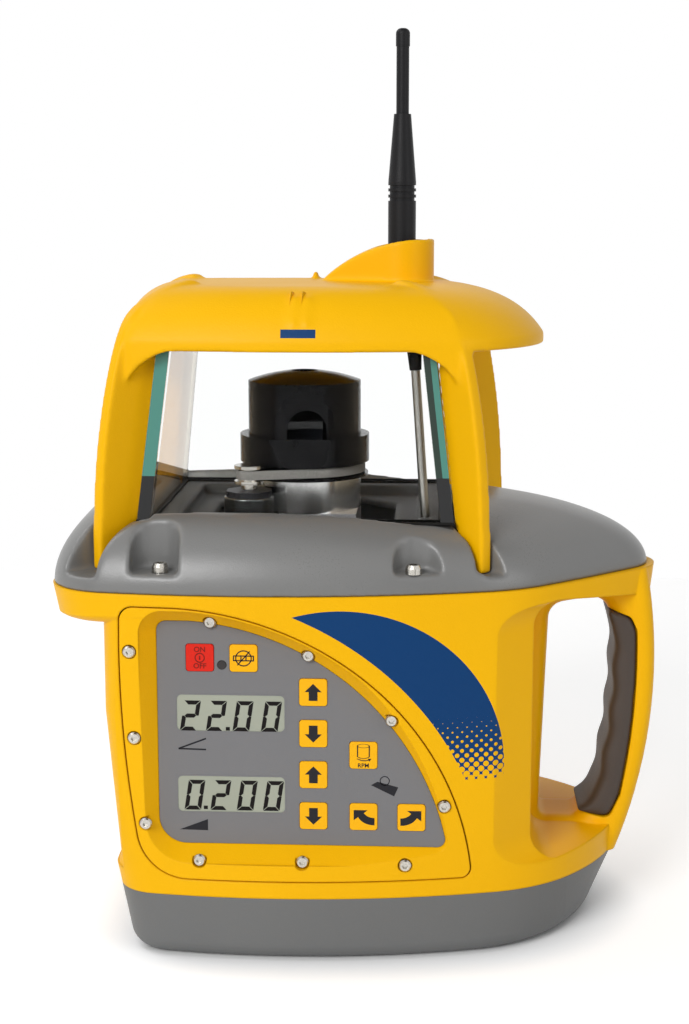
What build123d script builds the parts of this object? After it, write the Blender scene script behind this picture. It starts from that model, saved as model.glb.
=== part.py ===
from build123d import *
import os
from math import cos, pi, radians, sin, sqrt, tan

os.makedirs("parts", exist_ok=True)

# Dual-grade rotating laser, in millimetres. The origin is on the ground under the rotor axis,
# +X points to the carrying handle, the keypad faces -Y and +Z is up.

# Levels above the ground
seam_low_z = 31.0          # base tray meets the housing
seam_top_z = 166.0         # housing meets the top cover
flange_z = 152.0           # underside of the upper flange
skirt_z = 45.0             # top of the lower flange
cover_z = 198.0            # crown of the top cover
ledge_z = 193.0            # seat of the glazing
deck_z = 188.0             # sunken deck inside the panes
rim_z = 267.5              # lower edge of the roof
roof_rise = 27.0           # from there to the flat of the roof

# Clearances and common walls
slip = 0.2                 # between pieces that are only set in place
run_gap = 0.4              # between pieces that pass each other
fit = 0.05                 # radial, shafts and pins in their bores
wall = 3.5                 # moulded casing wall

# Plan of the lower flange and of the upper flange, which stands out from it
low_depth, flange_out = 86.5, 2.5
low_left, low_apex = -79.5, -5.0
low_corner_x, low_corner_in = -77.5, 6.5
low_shoulder_x, low_shoulder_in = 104.0, 18.0
low_nose, low_bulge, low_corner_r, low_nose_r = 148.0, 7.5, 19.0, 40.0
top_left, top_apex = -109.0, -20.0
top_corner_x, top_corner_in = -106.0, 10.0
top_shoulder_x, top_shoulder_in = 100.0, 20.0
top_nose, top_bulge, top_corner_r, top_nose_r = 172.5, 1.5, 30.0, 26.0
shoulder_round = 70.0

# Base tray, drawn in towards the ground
base_in, base_nose_in = 5.0, 14.0
base_floor, base_round = 5.0, 10.0
base_wall = 6.5
post_r, post_in = 5.0, 7.0
post_x = [-46.0, 62.0]
cradle_post_x = [-45.0, 45.0]
base_boss_r, corner_boss = 6.0, (7.5, 12.0)            # in the tray, in the housing with its height
base_screw_len = 24.0
base_screw_left, base_screw_left_in = -64.0, 19.5
base_screw_right = (96.0, 44.0)

# Housing body
body_left_top, body_left_low = -82.5, -75.5
body_corner_y, body_corner_r = 84.0, 14.0
body_bend_z = 112.0
waist_over = 0.8           # how far the waist's cut starts outside the flanges
front_wall, door_frame = 8.0, 1.5      # from the overlay and from the door's seat to the room inside
cavity_right, cavity_r = 80.0, 14.0
flange_round, skirt_round = 8.0, 5.0
flange_floor = 4.0         # thickness of the upper flange under the chassis

# Window round the handle: half depth, left side, foot, head and corner radius of each of its sections
window_mouth = (90.0, 69.5, 40.0, 160.0, 16.0)
window_lip = (58.0, 104.5, 41.5, 159.5, 12.0)
window_throat = (19.0, 105.5, 44.0, 154.0, 9.0)

# Handle
handle_half, handle_round, hole_round = 19.0, 6.0, 9.0
handle_root_x = 98.0
handle_out = [(158.0, 166.0), (162.5, 112.0), (146.5, 31.0)]
hole_left, hole_low_z = (113.6, 110.3), 45.8            # at the head and at the foot
hole_head = [(113.8, 147.5), (137.5, 152.0)]
hole_corner_r, hole_heel = 8.0, (127.0, 4.0)            # where the toe of the grip starts, corner radius there
grip_wrap = 4.0            # rubber thickness over the handle core
grip_proud = 0.5           # how far the rubber stands out from the handle
grip_top, grip_low, grip_bow = (143.0, 139.0), (136.0, 57.0), 3.0    # finger side and how far it bows
grip_waves, grip_wave_height, grip_edge_r = 4, 0.8, 4.0
grip_toe = [(131.5, 52.3), (125.5, 49.8)]
grip_heel, grip_heel_r = (143.0, 46.8), 4.0
grip_out = [(148.0, 58.0), (153.3, 97.0), (153.9, 137.0)]
grip_crown = [(150.8, 143.4), (139.5, 146.8)]
grip_crown_r = 4.0

# Keypad
overlay_in = 9.5           # face of the overlay behind the lower flange
overlay_thick = 0.8
shelf, shelf_thick = 2.5, 3.0          # ledge of the bezel that carries the overlay
seal_thick, seal_inset = 0.8, 0.8
bezel_gap = 0.6
dish_width, dish_rise = 6.6, 8.0       # slope of the frame down to the overlay
bezel_low_z = 39.0
bezel_left = [(-64.5, 39.0), (-71.8, 92.0), (-73.4, 160.3)]
bezel_sweep = [(-50.0, 160.3), (27.0, 132.7), (77.5, 44.0)]
bezel_corners = (6.0, 22.0, 4.0)       # top left, bottom left, bottom right
overlay_left, overlay_low_z = -58.8, 52.7
overlay_sweep = [(-45.0, 152.7), (27.0, 123.1), (66.5, 56.5)]
overlay_corners = (4.0, 12.0, 3.5)
key_size, key_corner, key_lip = 12.1, 1.4, 0.6
key_proud, key_travel, key_lip_thick = 0.5, 0.6, 0.8
key_at = {
    "power_key": (-40.1, 136.6),
    "manual_key": (-21.1, 136.6),
    "main_up_key": (9.0, 121.8),
    "main_down_key": (9.0, 103.3),
    "cross_up_key": (9.0, 84.7),
    "cross_down_key": (9.0, 66.0),
    "speed_key": (30.8, 93.9),
    "turn_left_key": (30.9, 66.0),
    "turn_right_key": (51.8, 66.0),
}
display_size, display_at = (47.2, 16.4), [(-27.0, 111.9), (-27.0, 75.2)]
lens_r, lens_at = 1.9, (-30.6, 133.4)
board_thick = 1.6
panel_screw_at = [(-69.5, 140.7), (-68.2, 102.1), (-63.9, 63.3), (-40.6, 47.2), (4.5, 47.2),
                  (49.2, 45.8), (66.0, 71.8), (43.0, 110.7), (7.0, 138.4), (-35.4, 152.7)]

# Fasteners
screw_head_r, screw_head_h, screw_r = 2.75, 3.0, 1.5
socket_r, socket_deep = 1.5, 1.6
panel_screw_grip, panel_screw_sunk = 2.5, 1.8   # depth in the housing, depth of the head's pocket
cover_head_r, cover_head_h, cover_socket_r, cover_screw_r = 3.5, 4.0, 1.9, 2.0
cover_screw_x, cover_screw_in = [-56.6, 52.0], 11.0
cover_screw_len = 12.0

# Top cover: how far each level draws in all round, and further at the handle end
cover_levels = [(166.0, 0.5, 3.0), (177.0, 2.5, 6.0), (187.0, 8.0, 16.0), (194.5, 15.5, 34.0), (198.0, 25.0, 50.0)]
cover_hollow_z, cover_hollow_in, cover_hollow_pull = 184.0, 18.0, 20.0
pocket_width, pocket_z, pocket_back, pocket_r = 21.0, 174.5, 8.5, 9.0
pocket_shift = 2.0         # away from the middle, from the screw
deck_half_x, deck_front_in, deck_rear_in, deck_r = 53.0, 3.0, 8.0, 4.0
well_half_x, well_front_in, well_rear_in = 42.0, 5.0, 15.0
well_front_cut, well_rear_cut = 8.0, 16.0

# Panes, leaning inward
pane_thick, pane_lean = 5.6, 6.6
pane_x, pane_in = 63.4, 28.0           # inner face of the sides, ends from the depth of the flange
end_pane_in = 6.0
pane_seat = 5.5            # depth of the panes in the roof
gasket_thick = 1.0
glazing_margin = 1.2

# Roof: how far each side bows out between the corners, then the inset up to the flat
bow_front, bow_right, bow_left = 4.5, 109.5, 83.0       # the headers' from the ends of the panes
corner_in = (11.7, 7.5)                # from a fin's foot to the roof's corner
roof_corner_r = 6.0
rim_height = 4.5
roof_mid, roof_mid_in, roof_flat_in = 17.5, 6.5, 26.0
visor_pull = 2.0           # share of the inset at the visor
roof_wall = 5.5
cheek_low = 13.0           # how far the headers' ends reach down the fins
cheek_arch = [(-20.2, 0.0), (-10.7, -4.0), (-2.2, -13.0)]     # from a fin's foot less corner_in, from the rim
fin_thick = 6.2
fin_foot_x, left_fin_foot_x, fin_foot_in = 83.2, 86.3, 23.0
rear_fin_foot_x, rear_fin_foot_in = 92.0, 21.0
fin_foot_z, fin_foot_flat = 172.5, 5.0
fin_heel_z, fin_heel = 189.0, 9.0
fin_gap = 0.6              # from the pane
fin_brow = [(-1.8, -53.5), (-9.5, -9.5), (-14.5, 6.0), (-20.0, 15.5), (-27.5, 21.0), (-42.0, 27.2), (-54.0, 29.4)]
fin_root = [(-60.0, 26.0), (-60.0, 18.0), (-34.0, 2.5)]
notch_gap, notch_out = 1.4, 30.0
sight_at, sight_width = [-0.9, 4.6], 1.8
sight_side = [(1.0, 12.0), (10.0, 24.0), (17.0, 24.5), (12.0, 16.0), (4.0, 8.0)]      # from the header, from the rim
rear_sight_at, rear_sight_size = (3.0, 34.0), (2.4, 6.0, 3.4)

# Antenna
antenna_at = (44.3, 12.0)
fairing_r, fairing_tail_x, fairing_tail_r, fairing_wall = 14.9, 11.0, 3.0, 2.2
fairing_top = [(6.0, -1.0), (24.0, 12.0), (61.0, 19.0)]       # from the roof's flat
whip_base_r, whip_waist_r, whip_rod_r = 6.4, 3.9, 2.9
whip_low, whip_ring, whip_taper, whip_cap, whip_top = 5.5, 36.5, 75.5, 105.5, 113.5
whip_rings, whip_ring_pitch, whip_ring_deep = 3, 2.8, 0.7
whip_cap_r, whip_cap_round = 3.2, 0.75
jack_r, jack_len = 4.0, 14.0
tube_foot_x, tube_head_x, tube_in = 56.4, 51.8, 14.0
cable_tube_r, boot_r, boot_len, boot_taper, boot_neck_r = 2.0, 3.3, 9.5, 0.7, 1.9

# Rotor
head_r, head_wall = 26.0, 3.0
head_z, lid_z, lid_edge_z, crown_z = 217.0, 246.0, 249.5, 254.0
lid_groove, lid_bulge, lid_hole_r, lid_hole_deep = 0.8, 0.7, 6.0, 3.0
flange_r, flange_top_z, flange_low_z = 29.9, 225.0, 212.5
groove_r, groove_low_z = 27.0, 207.0
low_rim_r = 29.4
drum_r, drum_z, drum_low_z = 26.0, 205.6, 191.0
rotor_low_z, shaft_low_z, bearing_low_z = 205.9, 192.5, 192.0
shaft_r, beam_r = 8.0, 5.5
bearing_r, bearing_h = 13.0, 6.5
prism_face, prism_width = 14.0, 16.0
aperture_width, aperture_low_z, aperture_top_z = 18.0, 219.0, 238.0
aperture_turn = 6.5        # degrees, where the rotor happens to stand
facet_r, facet_width = 24.2, 21.0

# Belt drive
belt_z, belt_width, belt_thick, belt_gap = 209.8, 4.0, 0.8, 0.3
motor_at = (-23.0, -30.0)
motor_r, motor_top_z = 11.2, 200.0
motor_cap_h, cap_notches, cap_notch = 2.6, 8, 2.6
motor_pulley_r, motor_groove_r = 6.6, 4.6
motor_pulley_low_z, hub_top_z, motor_pulley_top_z, motor_hub_r = 203.1, 205.6, 214.0, 3.6
motor_shaft_r, motor_shaft_low_z = 1.5, 190.0

# Gimbal: the ring tilts about X in the chassis and the carrier about Y in the ring
pivot_z = 160.0
ring_r, ring_thick, ring_h = 54.0, 6.0, 12.0
carrier_r, carrier_h = 50.0, 10.0
pin_r = 3.0
pin_grip = 7.0             # length of a pivot pin in what holds it
chassis_thick, chassis_gap = 4.0, 3.0
chassis_left, chassis_right, chassis_strip, chassis_r = -90.0, 86.0, 6.8, 20.0
chassis_boss_half, chassis_boss_h = 8.0, 14.0
tower_r = 24.0
tube_r, tube_bore_r, tube_low_z = 17.0, 12.0, 120.0
collar_r, collar_low_z = 21.0, 186.0
module_h = 26.0
lens_z, lens_h = 168.0, 4.0
tail_r, tail_ball_r, tail_plate = 3.0, 4.5, 3.0
saddle_left, saddle_right, saddle_half_y, saddle_low_z = -10.0, 25.0, 25.0, 178.0

# Grade drives
cross_z, main_z = 101.0, 110.0
cross_swing, main_swing = (-20.5, 12.0), (-18.5, 11.0)      # room along each fork
drive_plate_z, drive_plate_thick = 84.0, 3.0
plate_left, plate_right, plate_gap = -67.0, 70.0, 2.0
actuator_r, actuator_len = 10.0, 25.0
foot_in, foot_half = 2.0, 7.0
plunger_r, plunger_reach = 2.5, 8.0
fork_thick, fork_bar, fork_gap = 5.0, 4.0, 0.6

# Batteries
cell_r, cell_len = 16.8, 61.0
cell_in, cell_z = 3.7, [72.5, 107.5]   # from the door's seat
nub_r, nub_len = 4.7, 1.5
cradle_wall = 2.5
door_in, door_half_x, door_low_z, door_top_z, door_r = 10.0, 67.0, 52.0, 135.0, 6.0
door_open_half, door_open_low_z, door_open_top_z = 64.0, 55.0, 126.0
door_pocket_half, door_pocket = 40.0, 4.5
door_screw_at, door_screw_r = [(-45.0, 130.0), (45.0, 130.0)], 5.0
door_screw_seat, door_screw_h, coin_slot = 4.0, 2.5, (1.6, 1.4)

# Tripod thread, 5/8 inch by 11
thread_r, thread_len = 7.0, 15.0
insert_r, insert_len, insert_boss = 15.0, 18.0, 6.0

# Depths, all from the flanges
top_depth = low_depth + flange_out
top_corner, top_shoulder = (top_corner_x, top_depth - top_corner_in), (top_shoulder_x, top_depth - top_shoulder_in)
low_corner, low_shoulder = (low_corner_x, low_depth - low_corner_in), (low_shoulder_x, low_depth - low_shoulder_in)
overlay_y = overlay_in - low_depth
door_seat_y = low_depth - door_in
cavity_front, cavity_rear = overlay_y + front_wall, door_seat_y - door_frame
cell_y = door_seat_y - cell_in - cell_r
cradle_back_y, cradle_front_y = cell_y - cell_r - slip - cradle_wall, cell_y + cell_r
plate_front, plate_rear = cavity_front + plate_gap, cradle_back_y - plate_gap
actuator_at = -plate_front - actuator_len
post_at = [(x, y) for x in post_x for y in (plate_front + post_in, plate_rear - post_in)]
base_screw_y = low_depth - base_screw_left_in
base_screw_at = [(base_screw_left, -base_screw_y), (base_screw_right[0], -base_screw_right[1]),
                 (base_screw_left, base_screw_y), base_screw_right]
cover_screw_at = [(x, side * (top_depth - cover_screw_in)) for side in (-1, 1) for x in cover_screw_x]
pane_half_y = top_depth - pane_in
end_pane_y = pane_half_y - end_pane_in
fin_foot, left_fin_foot = (fin_foot_x, top_depth - fin_foot_in), (left_fin_foot_x, top_depth - fin_foot_in)
rear_fin_foot = (rear_fin_foot_x, top_depth - rear_fin_foot_in)
tube_foot, tube_head = (tube_foot_x, tube_in - end_pane_y), (tube_head_x, tube_in - end_pane_y)

# Heights of the roof and the antenna, all from the roof's lower edge
pane_top_z = rim_z + pane_seat
roof_mid_z, roof_z = rim_z + roof_mid, rim_z + roof_rise
whip_low_z, whip_ring_z, whip_taper_z = roof_z + whip_low, roof_z + whip_ring, roof_z + whip_taper
whip_cap_z, whip_top_z = roof_z + whip_cap, roof_z + whip_top
boot_low_z = rim_z - boot_len


def save(piece, name):
    """Label a finished piece and write it under its own name."""
    piece.part.label = name
    export_step(piece.part, f"parts/{name}.step")


def plan(left, depth, apex, corner, shoulder, nose, bulge, corner_r, nose_r):
    """Plan of a flange: blunt on the left, bowed along its sides, drawn to a round nose at the handle."""
    along = Vector(nose - shoulder[0], shoulder[1]).normalized()
    middle = Vector((nose + shoulder[0]) / 2, -shoulder[1] / 2) + Vector(along.Y, -along.X) * bulge
    with BuildSketch() as face:
        with BuildLine():
            ThreePointArc((corner[0], corner[1]), (left, 0), (corner[0], -corner[1]))
            front = ThreePointArc((corner[0], -corner[1]), (apex, -depth), (shoulder[0], -shoulder[1]))
            cheek = ThreePointArc((shoulder[0], -shoulder[1]), middle, (nose, 0))
            mirror([front, cheek], about=Plane.XZ)
        make_face()
        fillet(face.vertices().sort_by(Axis.X)[:2], corner_r)
        fillet(face.vertices().sort_by(Axis.X)[-1], nose_r)
        fillet([v for v in face.vertices() if abs(v.X - shoulder[0]) < fit], shoulder_round)
    return face.sketch


def cover_plan(inset, pull):
    """Plan of the upper flange drawn in all round by inset, and further at the handle by pull."""
    return plan(top_left + inset, top_depth - inset, top_apex,
                (top_corner[0] + inset, top_corner[1] - inset),
                (top_shoulder[0] - inset - pull / 2, top_shoulder[1] - inset),
                top_nose - inset - pull, top_bulge, top_corner_r, top_nose_r)


def base_plan(inset, nose_in):
    """Plan of the lower flange, drawn in by inset and at its nose by nose_in."""
    return plan(low_left + inset, low_depth - inset, low_apex, (low_corner[0] + inset, low_corner[1] - inset),
                (low_shoulder[0] - inset, low_shoulder[1] - inset), low_nose - nose_in, low_bulge,
                low_corner_r, low_nose_r)


def body_plan(left):
    """Plan that limits the housing between the flanges: a left wall with rounded corners."""
    with BuildSketch() as face:
        Polygon((left, body_corner_y), (0, top_depth + wall), (top_nose + wall, top_depth + wall),
                (top_nose + wall, -top_depth - wall), (0, -top_depth - wall), (left, -body_corner_y), align=None)
        fillet(face.vertices().sort_by(Axis.X)[:2], body_corner_r)
    return face.sketch


top_plan = plan(top_left, top_depth, top_apex, top_corner, top_shoulder, top_nose, top_bulge,
                top_corner_r, top_nose_r)
low_plan = base_plan(0, 0)
body_top = body_plan(body_left_top)
body_low = body_plan(body_left_low)


def swept_panel(left, sweep, foot_z, corners):
    """Keypad outline: a left side, one long arc from the top to the right, and a straight foot."""
    top_start = (left[-1][0], sweep[0][1])
    with BuildSketch() as face:
        with BuildLine():
            Line(top_start, sweep[0])
            ThreePointArc(*sweep)
            Polyline(sweep[2], (sweep[2][0], foot_z), (left[0][0], foot_z))
            if len(left) == 3:
                ThreePointArc(left[0], left[1], top_start)
            else:
                Line(left[0], top_start)
        make_face()
        fillet(face.vertices().group_by(Axis.Y)[-1].sort_by(Axis.X)[0], corners[0])
        fillet(face.vertices().group_by(Axis.Y)[0].sort_by(Axis.X)[0], corners[1])
        fillet(face.vertices().group_by(Axis.Y)[0].sort_by(Axis.X)[-1], corners[2])
    return face.sketch


bezel_face = swept_panel(bezel_left, bezel_sweep, bezel_low_z, bezel_corners)
overlay_face = swept_panel([(overlay_left, overlay_low_z)] * 2, overlay_sweep, overlay_low_z, overlay_corners)

# Depths of the keypad stack, from the overlay inwards
overlay_back_y = overlay_y + overlay_thick
bezel_back_y = overlay_back_y + shelf_thick
pad_y = bezel_back_y + seal_thick
key_front_y = overlay_y - key_proud
key_back_y = overlay_back_y + slip / 2 + key_lip_thick
board_front_y = key_back_y + key_travel + slip
board_back_y = board_front_y + board_thick


def front_plane(y):
    """Plane facing the front at depth y, with X to the right and Z up."""
    return Plane((0, y, 0), x_dir=(1, 0, 0), z_dir=(0, -1, 0))


def socket_screws(seats, lengths, head_r, head_h, shank_r, key_r):
    """Socket-head screws of the given lengths, each with its head's seat at a plane's origin."""
    with BuildPart() as screws:
        for seat, length in zip(seats, lengths):
            with BuildSketch(seat):
                Circle(head_r)
            extrude(amount=head_h)
            with BuildSketch(seat):
                Circle(shank_r)
            extrude(amount=-length)
            with BuildSketch(seat.offset(head_h)):
                RegularPolygon(key_r, 6)
            extrude(amount=-socket_deep, mode=Mode.SUBTRACT)
    return screws


cradle_low_z = cell_z[0] - cell_r - slip - cradle_wall

# Base tray: a tub drawn in to the ground, with the tripod boss, the drive posts and the screw bosses
with BuildPart() as base_form:
    with BuildSketch():
        add(base_plan(base_in, base_nose_in))
    with BuildSketch(Plane.XY.offset(seam_low_z)):
        add(low_plan)
    loft()
    fillet(base_form.faces().sort_by(Axis.Z)[0].edges(), base_round)

with BuildPart() as base_room:
    with BuildSketch(Plane.XY.offset(base_floor)):
        add(base_plan(base_in + base_wall, base_nose_in + base_wall))
    with BuildSketch(Plane.XY.offset(seam_low_z)):
        add(base_plan(base_wall, base_wall))
    loft()

with BuildPart() as base_bosses:
    with BuildSketch(Plane.XY.offset(base_floor / 2)):
        with Locations(*base_screw_at):
            Circle(base_boss_r)
    extrude(amount=seam_low_z - base_floor / 2)
    add(base_form.part, mode=Mode.INTERSECT)

with BuildPart() as base_tray:
    add(base_form.part)
    add(base_room.part, mode=Mode.SUBTRACT)
    add(base_bosses.part)
    with BuildSketch(Plane.XY.offset(base_floor / 2)):
        Circle(insert_r + insert_boss)
    extrude(amount=insert_len)
    with BuildSketch(Plane.XY.offset(base_floor / 2)):
        with Locations(*post_at):
            Circle(post_r)
    extrude(amount=drive_plate_z - base_floor / 2)
    with BuildSketch(Plane.XY.offset(base_floor / 2)):
        with Locations(*[(x, cell_y) for x in cradle_post_x]):
            Circle(post_r)
    extrude(amount=cradle_low_z - base_floor / 2)
    with BuildSketch():
        Circle(insert_r)
    extrude(amount=insert_len, mode=Mode.SUBTRACT)
    with BuildSketch():
        with Locations(*base_screw_at):
            Circle(screw_r + slip)
    extrude(amount=seam_low_z, mode=Mode.SUBTRACT)
    with BuildSketch():
        with Locations(*base_screw_at):
            Circle(screw_head_r + run_gap)
    extrude(amount=seam_low_z / 2, mode=Mode.SUBTRACT)
save(base_tray, "base_tray")

# Tripod insert: a plain bush with the instrument thread from below
with BuildPart() as tripod_insert:
    with BuildSketch():
        Circle(insert_r)
    extrude(amount=insert_len)
    with BuildSketch():
        Circle(thread_r)
    extrude(amount=thread_len, mode=Mode.SUBTRACT)
save(tripod_insert, "tripod_insert")

# Base screws, driven from below into the housing
base_screws = socket_screws([Plane((x, y, seam_low_z / 2), z_dir=(0, 0, -1)) for x, y in base_screw_at],
                            [base_screw_len] * len(base_screw_at), screw_head_r, screw_head_h, screw_r, socket_r)
save(base_screws, "base_screws")


# Hand grip: a rubber sleeve with finger waves on the inner side of the handle
def finger_x(z):
    """Mean line of the grip's finger side at height z."""
    share = (grip_top[1] - z) / (grip_top[1] - grip_low[1])
    return grip_top[0] + (grip_low[0] - grip_top[0]) * share + 4 * grip_bow * share * (1 - share)


def finger_arc(away):
    """Three points of that line, moved into the handle by away."""
    return [(finger_x(z) + away, z) for z in (grip_top[1], (grip_top[1] + grip_low[1]) / 2, grip_low[1])]


def finger_waves():
    """Points of the finger side with its waves, from the head to the foot."""
    steps = 4 * grip_waves
    heights = [grip_top[1] + (grip_low[1] - grip_top[1]) * i / steps for i in range(steps + 1)]
    return [(finger_x(z) - grip_wave_height * cos(pi * i / 2), z) for i, z in enumerate(heights)]


grip_half, core_half = handle_half + grip_proud, handle_half - grip_wrap
fingers = finger_waves()
core_arc = finger_arc(grip_wrap)

with BuildPart() as handle_grip:
    with BuildSketch(front_plane(-grip_half)) as grip_face:
        with BuildLine():
            Spline(*fingers)
            ThreePointArc(fingers[-1], *grip_toe)
            Polyline(grip_toe[-1], grip_heel, grip_out[0])
            ThreePointArc(*grip_out)
            Polyline(grip_out[-1], *grip_crown, fingers[0])
        make_face()
        fillet(grip_face.vertices().group_by(Axis.Y)[0], grip_heel_r)
        fillet(grip_face.vertices().sort_by_distance(grip_crown[0])[0], grip_crown_r)
    extrude(amount=-2 * grip_half)
    finger_edges = handle_grip.faces().sort_by(Axis.Y)[0].edges() + handle_grip.faces().sort_by(Axis.Y)[-1].edges()
    toe_edges = finger_edges.filter_by(GeomType.CIRCLE).filter_by(lambda edge: edge.center().X < grip_low[0])
    fillet(finger_edges.filter_by(GeomType.BSPLINE) + toe_edges, grip_edge_r)
    with BuildSketch(front_plane(-core_half)):
        with BuildLine():
            ThreePointArc(*core_arc)
            Polyline(core_arc[-1], grip_out[0])
            ThreePointArc(*grip_out)
            Polyline(grip_out[-1], core_arc[0])
        make_face()
    extrude(amount=-2 * core_half, mode=Mode.SUBTRACT)
save(handle_grip, "handle_grip")

# Main housing: lower skirt, body, upper flange and handle in one moulding
with BuildPart() as skirt:
    with BuildSketch(Plane.XY.offset(seam_low_z)):
        offset(low_plan, amount=waist_over)
    extrude(amount=skirt_z - seam_low_z)
    fillet(skirt.faces().sort_by(Axis.Z)[-1].edges(), skirt_round)

with BuildPart() as shoulder_flange:
    with BuildSketch(Plane.XY.offset(flange_z)):
        offset(top_plan, amount=waist_over)
    extrude(amount=seam_top_z - flange_z)
    fillet(shoulder_flange.faces().sort_by(Axis.Z)[0].edges(), flange_round)

hole_arc = finger_arc(grip_wrap / 2)

# Handle: a plate with a bowed outer edge and the hand hole, rounded all round
with BuildPart() as handle_bar:
    with BuildSketch(front_plane(-handle_half)):
        with BuildLine():
            ThreePointArc(*handle_out)
            Polyline(handle_out[-1], (handle_root_x, seam_low_z), (handle_root_x, seam_top_z), handle_out[0])
        make_face()
    extrude(amount=-2 * handle_half)
    fillet(handle_bar.edges().filter_by(GeomType.CIRCLE), handle_round)
    with BuildSketch(front_plane(-handle_half)) as hand_hole:
        with BuildLine():
            ThreePointArc(*hole_arc)
            Polyline(hole_arc[-1], (hole_heel[0], hole_low_z), (hole_left[1], hole_low_z), *hole_head, hole_arc[0])
        make_face()
        fillet(hand_hole.vertices().sort_by_distance((hole_heel[0], hole_low_z))[0], hole_heel[1])
        fillet(hand_hole.vertices().sort_by_distance((hole_left[1], hole_low_z))[0], hole_heel[1])
        fillet(hand_hole.vertices().sort_by(Axis.Y)[-2:], hole_corner_r)
    extrude(amount=-2 * handle_half, mode=Mode.SUBTRACT)
    hole_edges = handle_bar.edges(Select.LAST)
    fillet(hole_edges.group_by(Axis.Y)[0] + hole_edges.group_by(Axis.Y)[-1], hole_round)


def window_face(half, left, low_z, top_z, corner_r):
    """Section of the window round the handle, open at the right."""
    with BuildSketch(front_plane(-half)) as face:
        Polygon((left, low_z), (top_nose + wall, low_z), (top_nose + wall, top_z), (left, top_z), align=None)
        fillet(face.vertices().sort_by(Axis.X)[:2], corner_r)
    return face.sketch


# Window round the handle: wide at the flanks, drawn in to a lip and then to the throat
mouth_face, lip_face, throat_face = [window_face(*sizes) for sizes in (window_mouth, window_lip, window_throat)]
with BuildPart() as window:
    loft([mouth_face, lip_face])
    loft([lip_face, throat_face])
    mirror(about=Plane.XZ)
    extrude(throat_face, amount=-2 * window_throat[0])

with BuildPart() as body_limit:
    with BuildSketch(Plane.XY.offset(seam_low_z)):
        add(body_low)
    with BuildSketch(Plane.XY.offset(body_bend_z)):
        add(body_top)
    loft()
    with BuildSketch(Plane.XY.offset(body_bend_z)):
        add(body_top)
    extrude(amount=seam_top_z - body_bend_z)

# Waist: what is taken away between the flanges, outside the body's own walls
with BuildPart() as waist:
    with Locations((0, 0, skirt_z - skirt_round)):
        Box(2 * top_nose + 2 * wall, 2 * top_depth + 2 * wall, flange_z + flange_round - skirt_z + skirt_round,
            align=(Align.CENTER, Align.CENTER, Align.MIN))
    add(skirt.part, mode=Mode.SUBTRACT)
    add(shoulder_flange.part, mode=Mode.SUBTRACT)
    add(body_limit.part, mode=Mode.SUBTRACT)

cavity_left = body_left_low + wall
chassis_z = flange_z + flange_floor
ring_out_r = ring_r + ring_thick
chassis_half = ring_out_r + chassis_gap + chassis_strip

# Casing: the outer form, before the room inside and the front panel are taken out of it
with BuildPart() as casing:
    with BuildSketch(Plane.XY.offset(seam_low_z)):
        add(low_plan)
    with BuildSketch(Plane.XY.offset(seam_top_z)):
        add(top_plan)
    loft()
    add(waist.part, mode=Mode.SUBTRACT)
    add(window.part, mode=Mode.SUBTRACT)
    add(handle_bar.part)
    add(handle_grip.part, mode=Mode.SUBTRACT)

with BuildSketch() as chassis_outline:
    Polygon((chassis_left, -chassis_half), (chassis_right, -chassis_half), (chassis_right, chassis_half),
            (chassis_left, chassis_half), align=None)
    fillet(chassis_outline.vertices(), chassis_r)
chassis_face = chassis_outline.sketch

dish_outline = offset(overlay_face, amount=slip, mode=Mode.PRIVATE)
dish_mouth = offset(overlay_face, amount=dish_width, mode=Mode.PRIVATE)

# Dish of the keypad: the room over the overlay, sloping out to the frame
with BuildPart() as dish:
    with BuildSketch(front_plane(overlay_back_y)):
        add(dish_outline)
    extrude(amount=overlay_thick)
    with BuildSketch(front_plane(overlay_y)):
        add(dish_outline)
    with BuildSketch(front_plane(overlay_y - dish_rise)):
        add(dish_mouth)
    loft()
    with BuildSketch(front_plane(overlay_y - dish_rise)):
        add(dish_mouth)
    extrude(amount=top_depth, mode=Mode.ADD)


def bow_depth(x, corner, apex, depth, shoulder):
    """Depth of a flange's bowed side at x, from the three points of its arc."""
    chord_x, chord_y = shoulder[0] - corner[0], shoulder[1] - corner[1]
    side_x, side_y = apex - corner[0], depth - corner[1]
    turn = 2 * (chord_x * side_y - chord_y * side_x)
    chord2, side2 = chord_x ** 2 + chord_y ** 2, side_x ** 2 + side_y ** 2
    mid_x = corner[0] + (side_y * chord2 - chord_y * side2) / turn
    mid_y = corner[1] + (chord_x * side2 - side_x * chord2) / turn
    radius = sqrt((corner[0] - mid_x) ** 2 + (corner[1] - mid_y) ** 2)
    return mid_y + sqrt(radius ** 2 - (x - mid_x) ** 2)


def front_y(x, z):
    """Depth of the keypad frame's face at a point: the housing's front, or the dish where that is deeper."""
    low = bow_depth(x, low_corner, low_apex, low_depth, low_shoulder)
    top = bow_depth(x, top_corner, top_apex, top_depth, top_shoulder)
    share = (z - seam_low_z) / (seam_top_z - seam_low_z)
    away = overlay_face.distance_to(Vertex(x, z, 0))
    return max(-low - (top - low) * share, overlay_y - away * dish_rise / dish_width)


panel_screw_seats = [front_plane(front_y(x, z) + panel_screw_sunk) for x, z in panel_screw_at]

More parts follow.
